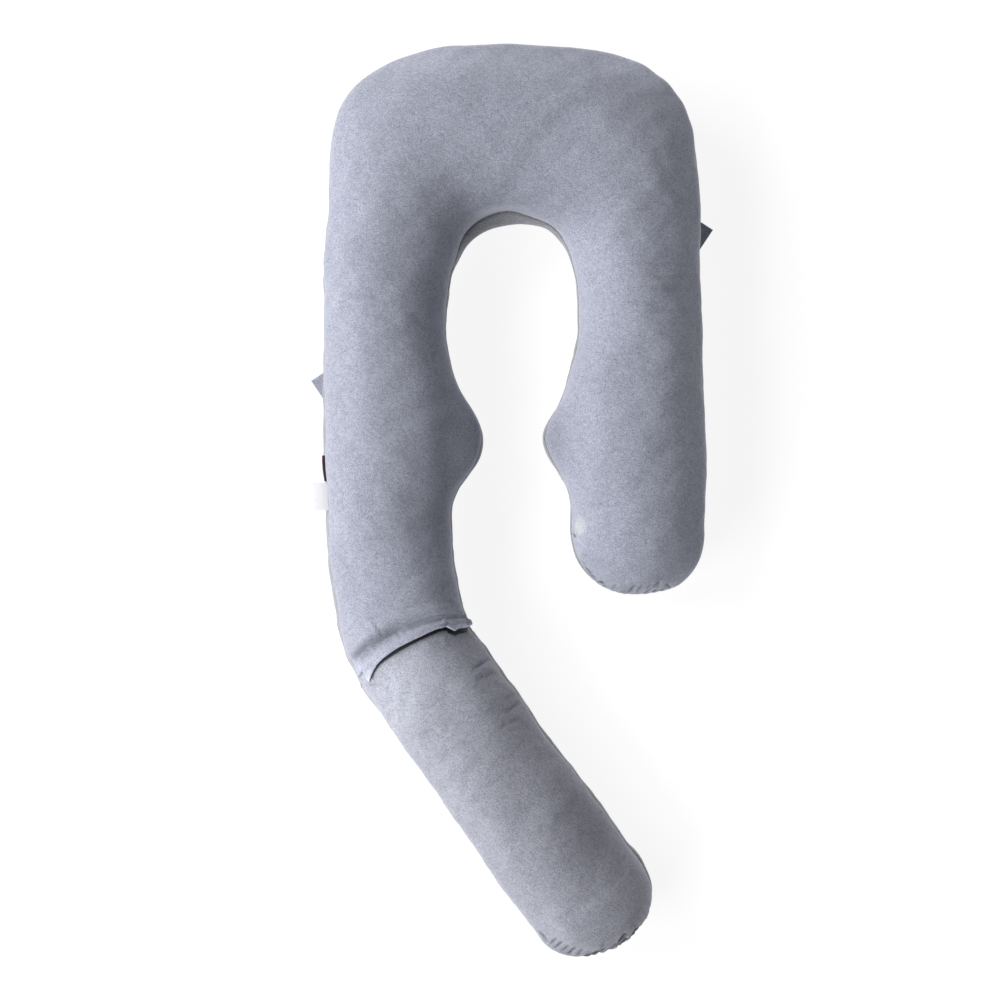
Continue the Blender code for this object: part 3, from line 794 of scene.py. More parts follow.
def stuffed(limb):
    """The grid with its stuffing lumps, wrinkles, gathers, creases, groove and shoulder."""
    calm = 1 - 0.7 * np.exp(-(limb.off / (30 * MM)) ** 2)
    out = 0.9 * MM * soft_noise(limb.grid, 130 * MM, LUMP_SEEDS[0])
    out += 0.45 * MM * soft_noise(limb.grid, 45 * MM, LUMP_SEEDS[1])
    out += WRINKLE_SHARE * calm * limb.wrinkles - limb.folds[0]
    out -= GROOVE_DEPTH * np.exp(-(limb.off / GROOVE_WIDTH) ** 2)
    out += SEAM_RIDGE * np.exp(-(limb.off / SEAM_RIDGE_WIDTH) ** 2)
    out -= shoulder(limb)
    made = limb.grid + out[..., None] * limb.normals
    made[..., 2] = np.maximum(made[..., 2], 0.0)
    return made


# %% A closed mesh with its fields


def closed_mesh(name, points, faces, fields, map_name, flat):
    """An object from points and faces, with its point fields and a UV map given by point."""
    mesh = bpy.data.meshes.new(name)
    mesh.from_pydata(points, [], faces)
    turned = bmesh.new()
    turned.from_mesh(mesh)
    bmesh.ops.recalc_face_normals(turned, faces=turned.faces)
    turned.to_mesh(mesh)
    turned.free()
    mesh.shade_smooth()
    for label, field in fields.items():
        attribute = mesh.attributes.new(label, "FLOAT", "POINT")
        attribute.data.foreach_set("value", field.astype(np.float32))
    corner = np.zeros(len(mesh.loops), dtype=np.int32)
    mesh.loops.foreach_get("vertex_index", corner)
    mesh.uv_layers.new(name=map_name).data.foreach_set("uv", flat[corner].reshape(-1))
    return in_scene(name, mesh)


def with_poles(field):
    """A field of the grid with a zero for each of the two end points."""
    return np.append(field.reshape(-1), (0, 0))


# %% What the finish reads at every point
THREAD_WIDTH = 1.4 * MM
# The dark line below the pale thread is a painted shadow, UNDER_THREAD off the seam on the lower
# panel.
UNDER_THREAD = 4 * MM                # the dark line that the pale thread throws below itself
UNDER_THREAD_WIDTH = 2.4 * MM
UNDER_THREAD_SHADE = 0.9
# Limits of the shade painted into folds; below 0 it is a painted highlight.
PALEST_FOLD = -0.8
DARKEST_FOLD = 1.9


def puckered(limb):
    """Where fine pleats show: along a seam that turns sharply, and far in round a tip."""
    bend = 0.25 * np.clip(turning(limb) - 0.1, 0.0, 1.0)
    end = round_end(limb, limb.places)
    spot = np.searchsorted(limb.places, limb.near).clip(0, len(limb.places) - 1)
    reach = (13 + 30 * end[spot]) * MM
    return np.maximum(bend, end)[spot] * np.clip(1.25 * (1 - limb.off / reach), 0.0, 1.0)


def spot_at(grid, x, y, reach_x, reach_y):
    """How far each point is from a spot in the picture, squared, in shares of its reach."""
    away = (in_picture(grid) - np.array((x, y))) / np.array((reach_x, reach_y))
    return np.sum(away ** 2, axis=2)


def worn_patch(grid):
    """The pale spot on the foot's inner side where the pile is rubbed flat."""
    return np.exp(-spot_at(grid, 580.5, 526, 5.5, 9.5) ** 3) * (grid[..., 2] > 0.07)


# Patches of painted shade (tone above 0) or painted light (below 0), in pixels
Patch = namedtuple("Patch", "x y reach_x reach_y tone")
PATCHES = [
    Patch(460, 62, 70, 16, -0.5),
    Patch(640, 66, 40, 18, -0.8),
    Patch(455, 205, 26, 34, 0.55),
    Patch(575, 205, 40, 30, 0.3),
    Patch(395, 240, 16, 40, 0.4),
    Patch(655, 270, 18, 80, 0.3),
    Patch(408, 440, 26, 44, 0.42),
    Patch(446, 440, 20, 40, 0.3),
    Patch(552, 440, 16, 30, 0.44),
    Patch(447, 520, 12, 50, 0.5),
    Patch(425, 565, 20, 30, -0.45),
    Patch(592, 568, 12, 16, 0.3),
    Patch(436, 616, 24, 12, -0.6),
    Patch(412, 674, 55, 26, -0.36),
    Patch(405, 700, 60, 60, -0.4),
    Patch(510, 800, 20, 40, 0.22),
    Patch(560, 800, 26, 40, 0.14),
    Patch(582, 850, 30, 50, 0.6),
    Patch(590, 920, 40, 26, 0.14),
]


def painted_patches(grid):
    """How much painted shade (above 0) or painted light (below 0) the patches give each point, on
    upper surfaces only.
    """
    tone = sum(patch.tone * np.exp(-spot_at(grid, *patch[:4])) for patch in PATCHES)
    return tone * np.clip(grid[..., 2] / (60 * MM) - 0.5, 0.0, 1.0)


def finish_fields(limb):
    """What the velvet needs to know at every point.

    seam_line is the pale thread, lower_panel the under cloth, pleated the places with fine
    pleats, trough the painted shade of folds, gathers and the line under the thread, and the
    painted patches of shade and of light (below 0, painted light).
    """
    off, column = limb.off, np.arange(COLUMNS)
    lower = np.broadcast_to((column < SEAM_OUT) | (column > SEAM_IN), off.shape).astype(float)
    # under_thread is where the thread's shadow is painted.
    under_thread = lower * np.exp(-((off - UNDER_THREAD) / UNDER_THREAD_WIDTH) ** 2)
    return {"seam_line": np.exp(-(off / THREAD_WIDTH) ** 2), "lower_panel": lower,
            "pleated": puckered(limb), "worn": worn_patch(limb.grid),
            "trough": np.clip(limb.folds[1], PALEST_FOLD, DARKEST_FOLD)
                      + UNDER_THREAD_SHADE * under_thread + painted_patches(limb.grid)}


# %% Make the two limbs
for limb in LIMBS:
    limb.made = stuffed(limb)
    limb.fields = finish_fields(limb)
    seam_map = np.stack([with_poles(limb.near), with_poles(limb.off)], axis=-1)
    by_point = {label: with_poles(field) for label, field in limb.fields.items()}
    limb.piece = closed_mesh(limb.name, *capped(limb.made), by_point, "seam_map", seam_map)
    print(limb.name, len(limb.piece.data.polygons), "faces")

# %% [markdown]
# ## Velvet
# Velvet is short pile standing on a woven ground. It has no gloss; it goes pale where it is
# seen edge-on, which is what Sheen gives, and it is never even: patches of pile lean one way
# or another, and at close range it is mottled like fine worm tracks. One node tree makes it,
# from noise at several sizes, and each cover gets its own small change of tint.

# %% Colours, and helpers for nodes
DARK_BLUE = (0.162, 0.174, 0.228, 1.0)
PALE_BLUE = (0.45, 0.463, 0.548, 1.0)
DARK_GREY = (0.162, 0.170, 0.212, 1.0)
PALE_GREY = (0.45, 0.455, 0.523, 1.0)
THREAD = (0.72, 0.74, 0.80, 1.0)     # the pale thread of the side seam
THREAD_SHARE = 0.55                  # how much of it shows between the pile
# How strongly the painted shade of the trough field darkens the colour, and how much colour the
# deepest painted shade leaves.
FOLD_DARKENS = 0.48
DARKEST = 0.06                       # share of the colour left in the deepest fold


def add(tree, kind, inputs, **settings):
    """A new node with its settings and inputs."""
    made = tree.nodes.new(kind)
    for name, value in settings.items():
        setattr(made, name, value)
    put(made, inputs)
    return made


def maths(operation, *values):
    """One step of arithmetic between sockets and numbers."""
    tree = next(x.id_data for x in values if isinstance(x, bpy.types.NodeSocket))
    return add(tree, "ShaderNodeMath", dict(enumerate(values)), operation=operation).outputs[0]


def noise(place, scale, detail=2.0, roughness=0.5, distortion=0.0):
    """The value of a noise at a place."""
    inputs = {"Vector": place, "Scale": scale, "Detail": detail, "Roughness": roughness,
              "Distortion": distortion}
    return add(place.id_data, "ShaderNodeTexNoise", inputs).outputs["Fac"]


def mixed(share, first, second):
    """One colour faded into another, by a share from 0 to 1."""
    inputs = {0: share, 6: first, 7: second}
    return add(share.id_data, "ShaderNodeMix", inputs, data_type="RGBA").outputs[2]


# %% Velvet out of noise


def fibre_lines(place, scale, width):
    """Short pale curls of pile: where a noise crosses its middle value, broken into dashes."""
    wander = noise(place, scale, 2.0, 0.6, 1.4)
    gap = maths("ABSOLUTE", maths("SUBTRACT", wander, 0.5))
    line = maths("SUBTRACT", 1.0, maths("DIVIDE", gap, width))
    breaks = noise(place, 0.8 * scale + 30.0, 1.0)
    breaks = maths("MULTIPLY", maths("SUBTRACT", breaks, 0.47), 9.0)
    line.node.use_clamp = breaks.node.use_clamp = True
    return maths("MULTIPLY", line, breaks)


def seam_puckers(tree, slant):
    """Fine pleats that run in from the seam, slanting; the velvet uses them as a bump and paints
    them in as dark shade.
    """
    place = add(tree, "ShaderNodeUVMap", {}, uv_map="seam_map").outputs[0]
    split = add(tree, "ShaderNodeSeparateXYZ", {"Vector": place})
    off = split.outputs["Y"]
    along = maths("SUBTRACT", split.outputs["X"], maths("MULTIPLY", off, slant))
    sheared = add(tree, "ShaderNodeCombineXYZ", {0: along, 1: maths("MULTIPLY", off, 0.12)})
    folds = noise(sheared.outputs[0], 170.0, 1.0)
    return add(tree, "ShaderNodeMapRange", {"Value": folds, 1: 0.50, 2: 0.38}).outputs[0]


def velvet(name, dark, pale, slant=None):
    """Velvet between two tints; a cover with a seam gets its gathers, at this slant."""
    finish, tree, shader = new_finish(name, 0.9)
    place = add(tree, "ShaderNodeTexCoord", {}).outputs["Object"]
    tracks = noise(place, 150.0, 4.0, 0.7, 1.2)
    pile = noise(place, 430.0, 2.0, 0.8, 0.6)
    fuzz = noise(place, 760.0, 0.0)
    brushed = add(tree, "ShaderNodeMapping", {"Vector": place, "Scale": (110.0, 330.0, 180.0),
                                              "Rotation": (0.0, 0.0, 0.6)})
    strokes = noise(brushed.outputs[0], 1.0, distortion=0.9)
    fibres = maths("MAXIMUM", fibre_lines(place, 85.0, 0.05), fibre_lines(place, 150.0, 0.06))
    shade = maths("MULTIPLY_ADD", noise(place, 9.0, 5.0, 0.6, 0.4), 0.24, 0.38)
    for value, weight in ((tracks, 0.55), (pile, 0.95), (fuzz, 1.1), (strokes, 0.34)):
        shade = maths("ADD", shade, maths("MULTIPLY", maths("SUBTRACT", value, 0.5), weight))
    shade = maths("ADD", shade, maths("MULTIPLY", fibres, 0.17))

    def field(label):
        """A field of the mesh."""
        return add(tree, "ShaderNodeAttribute", {}, attribute_name=label).outputs["Fac"]

    def in_folds(color):
        """The colour with the trough field painted in: painted shade where it is above 0, painted
        light where it is below.
        """
        painted_shade_scale = maths("SUBTRACT", 1.0, maths("MULTIPLY", field("trough"), FOLD_DARKENS))
        return add(tree, "ShaderNodeVectorMath",
                   {0: color, "Scale": maths("MAXIMUM", painted_shade_scale, DARKEST)},
                   operation="SCALE").outputs[0]

    if slant is None:
        pucker = 0.0
        color = in_folds(mixed(shade, dark, pale))
    else:
        lower, worn = field("lower_panel"), field("worn")
        pucker = maths("MULTIPLY", seam_puckers(tree, slant), field("pleated"))
        # The pleats darken the colour as painted shade; the lower panel is made darker and greyer,
        # and the worn spot paler.
        for value, weight in ((lower, -0.3), (pucker, -0.7), (worn, 0.25)):
            shade = maths("ADD", shade, maths("MULTIPLY", value, weight))
        color = mixed(shade, dark, pale)
        greyed = add(tree, "ShaderNodeHueSaturation", {"Color": color, "Saturation": 0.35})
        plain = maths("MAXIMUM", lower, maths("MULTIPLY", worn, 0.8))
        color = in_folds(mixed(plain, color, greyed.outputs[0]))
        color = mixed(maths("MULTIPLY", field("seam_line"), THREAD_SHARE), color, THREAD)
    relief = maths("ADD", maths("MULTIPLY", tracks, 1.0), maths("MULTIPLY", pile, 0.6))
    bump = add(tree, "ShaderNodeBump", {"Height": relief, "Strength": 0.45, "Distance": 0.0016})
    folds = add(tree, "ShaderNodeBump", {"Height": pucker, "Strength": 0.8, "Distance": 0.0022,
                                         "Normal": bump.outputs[0]}, invert=True)
    put(shader, {"Base Color": color, "Normal": folds.outputs[0], "Specular IOR Level": 0.15,
                 "Sheen Weight": 0.55, "Sheen Roughness": 0.45,
                 "Sheen Tint": (0.93, 0.95, 1.0, 1.0)})
    return finish


body_velvet = velvet("velvet_u", DARK_BLUE, PALE_BLUE, slant=u_limb.gather.slant)
tail_velvet = velvet("velvet_tail", DARK_GREY, PALE_GREY, slant=tail_limb.gather.slant)
trim_velvet = velvet("velvet_trim", DARK_BLUE, PALE_BLUE)

print("velvets:", body_velvet.name, tail_velvet.name, trim_velvet.name)

# %% Fit the covers to the frame
for limb, finish in zip(LIMBS, (body_velvet, tail_velvet)):
    limb.piece.data.materials.append(finish)
    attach(limb.piece, "root")
    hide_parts(limb.node)

# %% [markdown]
# ## Cloth that isn't filled
# The flap, the straps, the label and the tab are flat cloth. Each is drawn as the middle
# line of the cloth, a grid of points, and then given its thickness with rounded edges. Its
# rows and columns are closer together at the edges, where the cloth turns over. The grid
# also gives the pattern map: how far each point is from one corner, in metres.

# %% A sheet of cloth from a grid of points
RIM = np.array((0.0, 0.12, 0.45))    # rows next to an edge, in thicknesses from it


def spread(length, step, thick):
    """Shares from 0 to 1: even steps, and closer ones at the two edges."""
    rim = RIM * thick
    count = max(2, round((length - 2 * rim[-1]) / step) + 1)
    inner = np.linspace(rim[-1], length - rim[-1], count)
    return np.concatenate((rim[:-1], inner, length - rim[-2::-1])) / length


def run(points, axis):
    """Distance from the first point along one way of a grid, averaged over the other."""
    steps = np.linalg.norm(np.diff(points, axis=axis), axis=2).mean(axis=1 - axis)
    return np.concatenate(([0.0], np.cumsum(steps)))


def both_sides(field):
    """A field of the grid for the sheet's top points, then for its bottom ones."""
    width = field.shape[2:]
    return np.concatenate((field.reshape(-1, *width), field[1:-1, 1:-1].reshape(-1, *width)))


def upward(grid):
    """Unit normals of an open grid."""
    return unit(np.cross(np.gradient(grid, axis=0), np.gradient(grid, axis=1)))


def quads(index):
    """The four corners of every square of a grid of point numbers."""
    return np.stack((index[:-1, :-1], index[1:, :-1], index[1:, 1:], index[:-1, 1:]),
                    axis=-1).reshape(-1, 4)


def sheet_mesh(name, middle, thick, fields=None):
    """A closed sheet round a grid of middle points, with rounded edges and a pattern map."""
    rows, columns = middle.shape[:2]
    down, over = run(middle, 0), run(middle, 1)
    from_edge = np.minimum(np.minimum(down, down[-1] - down)[:, None],
                           np.minimum(over, over[-1] - over)[None, :])
    inside = np.clip(from_edge / (0.5 * thick), 0.0, 1.0)
    half = (0.5 * thick * np.sqrt(1 - (1 - inside) ** 2))[..., None] * upward(middle)
    points = np.concatenate(((middle + half).reshape(-1, 3),
                             (middle - half)[1:-1, 1:-1].reshape(-1, 3)))
    index = np.arange(rows * columns).reshape(rows, columns)
    under = index.copy()
    under[1:-1, 1:-1] = np.arange(rows * columns, len(points)).reshape(rows - 2, columns - 2)
    faces = np.concatenate((quads(index), quads(under)[:, ::-1])).tolist()
    by_point = {label: both_sides(field) for label, field in (fields or {}).items()}
    flat = both_sides(np.stack(np.meshgrid(down, over, indexing="ij"), axis=-1))
    piece = closed_mesh(name, points, faces, by_point, "pattern", flat)
    return piece, (float(down[-1]), float(over[-1]))


def surface(grid):
    """A limb's surface, to cast rays at."""
    return BVHTree.FromPolygons(grid.reshape(-1, 3).tolist(), grid_faces(len(grid), COLUMNS))


def ripple(places, wavelength, seed):
    """A smooth random line, about 1 at most."""
    points = np.zeros((len(places), 3))
    points[:, 0] = places
    return soft_noise(points, wavelength, seed, waves=12)


# %% [markdown]
# ## The flap over the joint
# The zip that joins the tail to the U is covered by a placket, a doubled strip of the same
# velvet. It is sewn down on the U and its other edge is free, so it stands a little off the
# tail and throws the dark line that shows in the picture; that line is also painted as a
# shadow on the tail. Two small tables hold its shape: how it rises and falls from the
# stitching to the free edge, and how wide it is at places along the joint. It is laid on
# the finished covers by casting rays out from the joint.

# %% Shape of the flap
FLAP_THICK = 2.0 * MM
Fold = namedtuple("Fold", "place back ahead lift drop")
FLAP_FOLDS = [
    Fold(0.00, 1.00, 0.00, 0.6, 0.0),
    Fold(0.08, 0.86, 0.00, 1.2, 0.0),
    Fold(0.22, 0.62, 0.00, 2.4, 0.0),
    Fold(0.44, 0.26, 0.00, 4.6, 0.0),
    Fold(0.62, 0.00, 0.10, 6.4, 0.0),
    Fold(0.80, 0.00, 0.50, 7.2, 0.2),
    Fold(0.93, 0.00, 0.84, 7.0, 0.5),
    Fold(1.00, 0.00, 1.00, 6.0, 1.0),
]
Station = namedtuple("Station", "turn back ahead rise share")
FLAP_STATIONS = [
    Station(6, 10, 7.5, 3.0, 1.3),
    Station(16, 10, 13.0, 3.2, 1.0),
    Station(24, 10, 13.5, 3.3, 1.0),
    Station(31, 11, 17.0, 3.3, 1.0),
    Station(37, 12, 6.0, 4.0, 1.2),
    Station(45, 13, 6.0, 4.3, 1.2),
    Station(65, 16, 7.5, 4.5, 1.2),
    Station(95, 18, 7.0, 5.0, 1.2),
    Station(120, 20, 8.0, 5.0, 1.2),
    Station(130, 20, 9.5, 4.5, 1.0),
    Station(140, 20, 14.5, 3.0, 0.8),
    Station(150, 20, 21.5, 1.8, 0.3),
]
# Puckers at its square end, in picture pixels, as on the limbs; each also paints its shade, or on
# a ridge a highlight, into the flap's colour
FLAP_CREASES = [
    Crease(440, 629, 449, 622.5, 1.7, 2.2),
    Crease(442, 625, 445, 616, 2.2, -1.4),
    Crease(449, 622.5, 461, 626, 1.3, -0.7),
    Crease(461, 626, 469, 627, 1.3, -0.7),
    Crease(466.2, 617, 467, 626, 1.3, 0.9),
]
FLAP_LENGTH = 0.205
FLAP_WIDTH = 0.021
FLAP_ALONG = spread(FLAP_LENGTH, 1.5 * MM, FLAP_THICK)
FLAP_ACROSS = spread(FLAP_WIDTH, 1.1 * MM, FLAP_THICK)
FLAP_ROWS = np.array(FLAP_STATIONS, dtype=float)
FLAP_CLEAR = 0.6
HEM_INSET = 5.0 * MM
HEM_DIP = 0.4 * MM
END_FLARE = 3.5 * MM
FLAP_PUCKER = 0.35 * MM
PUCKER_LENGTH = 13 * MM
PUCKER_SEED = 21
FLAP_WAVE = 0.7 * MM
WAVE_LENGTH = 60 * MM
WAVE_SEED = 22
SMOOTHED_OVER = 3                    # rows to each side

joint = LONG_LEG[-1]
joint_way, joint_down = directions(joint.angle)
joint_middle = cut_start(joint) + 0.5 * (joint.inner + joint.outer) * MM * joint_way
joint_middle[2] = LEAN_PIVOT


# %% Lay the flap


def columns_at(table, places):
    """Every column of a table, by a smooth spline through its rows."""
    values = np.array(table, dtype=float)
    return spline_weights(values[:, 0], places) @ values[:, 1:]


def flap_middle():
    """The middle of the flap's cloth, from the stitching to the free edge."""
    covers = (surface(u_limb.made), surface(tail_limb.grid))
    straight_up = np.array((0.0, 0.0, 1.0)) - joint.lean * joint_down
    first, last = FLAP_ROWS[0, 0], FLAP_ROWS[-1, 0]
    turns = first + FLAP_ALONG * (last - first)
    stations = np.stack([np.interp(turns, FLAP_ROWS[:, 0], column)
                         for column in FLAP_ROWS.T[1:]], axis=1)
    folds = columns_at(FLAP_FOLDS, FLAP_ACROSS)
    length = FLAP_ALONG * FLAP_LENGTH
    pucker = ripple(length, PUCKER_LENGTH, PUCKER_SEED)[:, None]
    pucker = pucker * np.exp(-(FLAP_ACROSS / 0.4) ** 2)
    wave = ripple(length, WAVE_LENGTH, WAVE_SEED)[:, None] * FLAP_ACROSS ** 2
    to_hem = (1 - FLAP_ACROSS) * FLAP_WIDTH - HEM_INSET
    to_end = length - HEM_INSET
    hem = np.exp(-(to_hem[None, :] / MM) ** 2) + np.exp(-(to_end[:, None] / MM) ** 2)
    middle = np.zeros((len(turns), len(folds), 3))
    out = np.zeros(middle.shape[:2])
    ways = []
    for i, (turn, (back, ahead, rise, share)) in enumerate(zip(turns, stations)):
        angle = math.radians(turn)
        way = math.sin(angle) * straight_up - math.cos(angle) * joint_way
        way /= np.linalg.norm(way)
        ways.append(way)
        for j, (fold_back, fold_ahead, lift, drop) in enumerate(folds):
            along = fold_ahead * ahead - fold_back * back
            starts = [joint_middle + side * MM * joint_down
                      for side in (min(along, -3.0), max(along, 1.0))]
            reach = [cover.ray_cast(Vector(start), Vector(way))[3] / MM
                     for cover, start in zip(covers, starts)]
            over_u = reach[0] + FLAP_CLEAR + (lift - FLAP_CLEAR) * share
            over_tail = reach[1] + rise
            out[i, j] = over_u + (over_tail - over_u) * min(max(drop, 0.0), 1.0)
            middle[i, j] = joint_middle + along * MM * joint_down
    padded = np.pad(out, ((SMOOTHED_OVER, SMOOTHED_OVER), (0, 0)), mode="edge")
    taken = 2 * SMOOTHED_OVER + 1
    out = sum(padded[k:k + len(out)] for k in range(taken)) / taken
    flare = END_FLARE * np.exp(-(length / (5 * MM)) ** 2)[:, None]
    out = (out + 0.5 * FLAP_THICK / MM) * MM + FLAP_PUCKER * pucker + FLAP_WAVE * wave
    out += flare - HEM_DIP * hem
    ways = np.broadcast_to(np.array(ways)[:, None, :], middle.shape)
    return middle + out[..., None] * ways, ways


flap_grid, flap_ways = flap_middle()
flap_folds = creases(flap_grid, flap_ways, FLAP_CREASES)
flap_shape = flap_grid - flap_folds[0][..., None] * flap_ways
print("flap grid", flap_grid.shape[:2])

# %% Painted shade and highlight of the flap, and the painted shadow of the gap under it
# How far past the free edge the painted shadow of the gap is black, in millimetres, at four turns
# along it
GAP_TURNS = (8, 14, 30, 36)
GAP_REACHES = (2.0, 5.5, 5.5, 2.0)
GAP_FADE = 1.2 * MM
GAP_GLOOM = 9 * MM
GAP_SHADE = 2.1
from_stitching = (FLAP_ACROSS * FLAP_WIDTH)[None, :]
to_edge = FLAP_WIDTH - from_stitching
# The flap's colour gets painted shade in the valley by its stitching, growing along the flap, and
# the painted shade and highlight of its puckers and patches.
painted_valley_shade = np.linspace(0.1, 1.0, len(flap_grid))[:, None]
flap_painted_light_and_shade = painted_valley_shade * np.exp(-(from_stitching / (8 * MM)) ** 2) + 1.2 * flap_folds[1]
flap_painted_light_and_shade = flap_painted_light_and_shade + painted_patches(flap_grid)
# Along the free edge, a painted highlight.
flap_painted_light_and_shade = flap_painted_light_and_shade - 0.6 * np.exp(-(to_edge / (7 * MM)) ** 2)
flap_painted_light_and_shade = flap_painted_light_and_shade - 1.5 * np.exp(-(to_edge / (2.2 * MM)) ** 2)
flap, flap_size = sheet_mesh("flap_over_joint", flap_shape, FLAP_THICK, {"trough": flap_painted_light_and_shade})
flap.data.materials.append(trim_velvet)


def painted_gap_shadow(points):
    """The painted shadow on the tail under the flap's free edge: 1 there, fading out past it."""
    offset = points - joint_middle
    along = offset @ joint_down + joint.lean * offset[..., 2]
    turn = np.degrees(np.arctan2(offset[..., 2], -(offset @ joint_way)))
    edge = np.interp(turn, FLAP_ROWS[:, 0], FLAP_ROWS[:, 2]) * MM
    reach = np.interp(turn, GAP_TURNS, GAP_REACHES) * MM
    past = np.clip(along - edge - reach, 0.0, None)
    covered = (turn > FLAP_ROWS[0, 0]) & (turn < FLAP_ROWS[-1, 0] - 4)
    return covered * (0.75 * np.exp(-(past / GAP_FADE) ** 2) + 0.25 * np.exp(-past / GAP_GLOOM))


# The tail's colour gets the painted shadow of the gap under the flap.
tail_trough = with_poles(tail_limb.fields["trough"] + GAP_SHADE * painted_gap_shadow(tail_limb.made))
tail_limb.piece.data.attributes["trough"].data.foreach_set(
    "value", tail_trough.astype(np.float32))
print(f"flap {1000 * flap_size[0]:.0f} x {1000 * flap_size[1]:.0f} mm of cloth")

# %% [markdown]
# ## The straps
# Two doubled strips of the velvet are sewn under the sides and lie on the floor, so that
# only a corner of each shows. A strip comes down from the side to the floor in one soft
# bend. Its end is turned in and stitched, which leaves a shallow dent along the hem.

# %% Shape of the straps
STRAP_WIDE = 42 * MM
STRAP_THICK = 2.5 * MM
STRAP_DROP = 26 * MM
STRAP_CLEAR = 0.4 * MM
STRAP_HEM = 6.0 * MM
STRAP_EDGE = 3.0 * MM
STRAP_ALONG = spread(0.09, 1.8 * MM, STRAP_THICK)
STRAP_ACROSS = spread(STRAP_WIDE, 1.8 * MM, STRAP_THICK)
Strap = namedtuple("Strap", "name corner_x corner_y heading turn root_x")
STRAPS = [
    Strap("strap_right", 330.1, 447.7, 56.3, 1, 280),
    Strap("strap_left", -330.1, 199.8, 124, -1, -280),
]


def strap_middle(strap, cover):
    """The middle of a strap's cloth: down from the side, then flat on the floor."""
    heading = math.radians(strap.heading)
    long_way = np.array((math.cos(heading), math.sin(heading), 0.0))
    end_way = np.array((-long_way[1], long_way[0], 0.0)) * strap.turn
    corner = np.array((strap.corner_x, strap.corner_y, 0.0)) * MM
    on_floor = STRAP_CLEAR + 0.5 * STRAP_THICK
    rows = []
    for across in STRAP_ACROSS * STRAP_WIDE:
        end = corner + across * end_way
        length = (end[0] - strap.root_x * MM) / long_way[0]
        root = end - length * long_way
        flank = cover.ray_cast(Vector(root), Vector((0, 0, 1)))[0].z
        root_height = flank - STRAP_CLEAR - 0.5 * STRAP_THICK
        points = root + STRAP_ALONG[:, None] * length * long_way
        fall = np.clip(np.abs(points[:, 0] - root[0]) / STRAP_DROP, 0.0, 1.0)
        fall = fall * fall * (3 - 2 * fall)
        hem = np.exp(-(((1 - STRAP_ALONG) * length - STRAP_HEM) / MM) ** 2)
        edge = np.exp(-((min(across, STRAP_WIDE - across) - STRAP_EDGE) / MM) ** 2)
        curl = 1.6 * MM * STRAP_ALONG ** 6 * (1 - across / STRAP_WIDE) ** 3
        points[:, 2] = root_height + (on_floor - root_height) * fall
        points[:, 2] += curl - 0.35 * MM * np.maximum(hem, edge) * fall
        rows.append(points)
    return np.array(rows)


u_cover = surface(u_limb.made)
straps = []
for strap in STRAPS:
    grid = strap_middle(strap, u_cover)
    piece = sheet_mesh(strap.name + "_cloth", grid, STRAP_THICK)[0]
    piece.data.materials.append(trim_velvet)
    lengths = np.linalg.norm(np.diff(grid, axis=1), axis=2).sum(axis=1)
    straps.append(SimpleNamespace(piece=piece, node=strap.name, grid=grid,
                                  size=(STRAP_WIDE, float(lengths.max())),
                                  area=STRAP_WIDE * float(lengths.mean())))
    print(f"{strap.name}: {1000 * STRAP_WIDE:.0f} x {1000 * lengths.max():.0f} mm of cloth")

# %% [markdown]
# ## The label and the tab
# Both are caught in the side seam of the long leg. The label is thin satin that droops
# under its own weight. The tab is a short black tape folded in two, with a red thread along
# its fold; only the fold stands out of the seam, so from above it is one dark line.

# %% Shape of the label and the tab
CAUGHT_THICK = 1.0 * MM
# Where each starts and ends along the seam, and its way out: along the cloth, out from the
# seam and up, in millimetres
Caught = namedtuple("Caught", "name start end rows step wave")
LABEL = Caught("bare_label", -12 * MM, 32 * MM,
               [(0, 0, 0), (7, 7, -0.6), (15, 15, -3), (23, 23, -7), (31, 29, -11)],
               1.2 * MM, 0.8 * MM)
TAB = Caught("black_tab", 34 * MM, 75 * MM,
             [(0, 0, -0.75), (2, 2, -0.35), (4, 3.9, 0.1), (5.2, 4.5, 0.9), (6.4, 3.7, 1.65),
              (8.3, 1.8, 1.35), (10, 0, 0.75)],
             0.8 * MM, 0.1 * MM)


def seam_points(places):
    """Points of the long leg's outer seam at these Y."""
    seam = u_limb.made[len(foot) + 60:, SEAM_OUT]
    seam = seam[(seam[:, 0] < -0.25) & (seam[:, 1] < 0.25)]
    order = np.argsort(seam[:, 1])
    return np.stack([np.interp(places, seam[order, 1], seam[order, k]) for k in (0, 2)], axis=1)


def caught(strip):
    """A strip that is caught in the seam, and its flat size."""
    length = strip.end - strip.start
    places = strip.start + length * spread(length, strip.step, CAUGHT_THICK)
    reach = strip.rows[-1][0]
    shares = spread(reach * MM, strip.step, CAUGHT_THICK) * reach
    out, up = (columns_at(strip.rows, shares) * MM).T
    roots = seam_points(places)
    sway = strip.wave * ripple(places, 40 * MM, 31)[:, None] * (shares / reach) ** 2
    middle = np.zeros((len(places), len(shares), 3))
    middle[..., 0] = roots[:, :1] - SEAM_RIDGE - out
    middle[..., 1] = places[:, None]
    middle[..., 2] = roots[:, 1:] + up + sway
    piece, size = sheet_mesh(strip.name, middle, CAUGHT_THICK)
    print(f"{strip.name} {1000 * size[0]:.0f} x {1000 * size[1]:.0f} mm of cloth")
    return piece, size


label, label_size = caught(LABEL)
tab, tab_size = caught(TAB)

# %% Satin and tape
RED_THREAD = (0.42, 0.06, 0.07, 1.0)
RED_HALF = 0.7 * MM


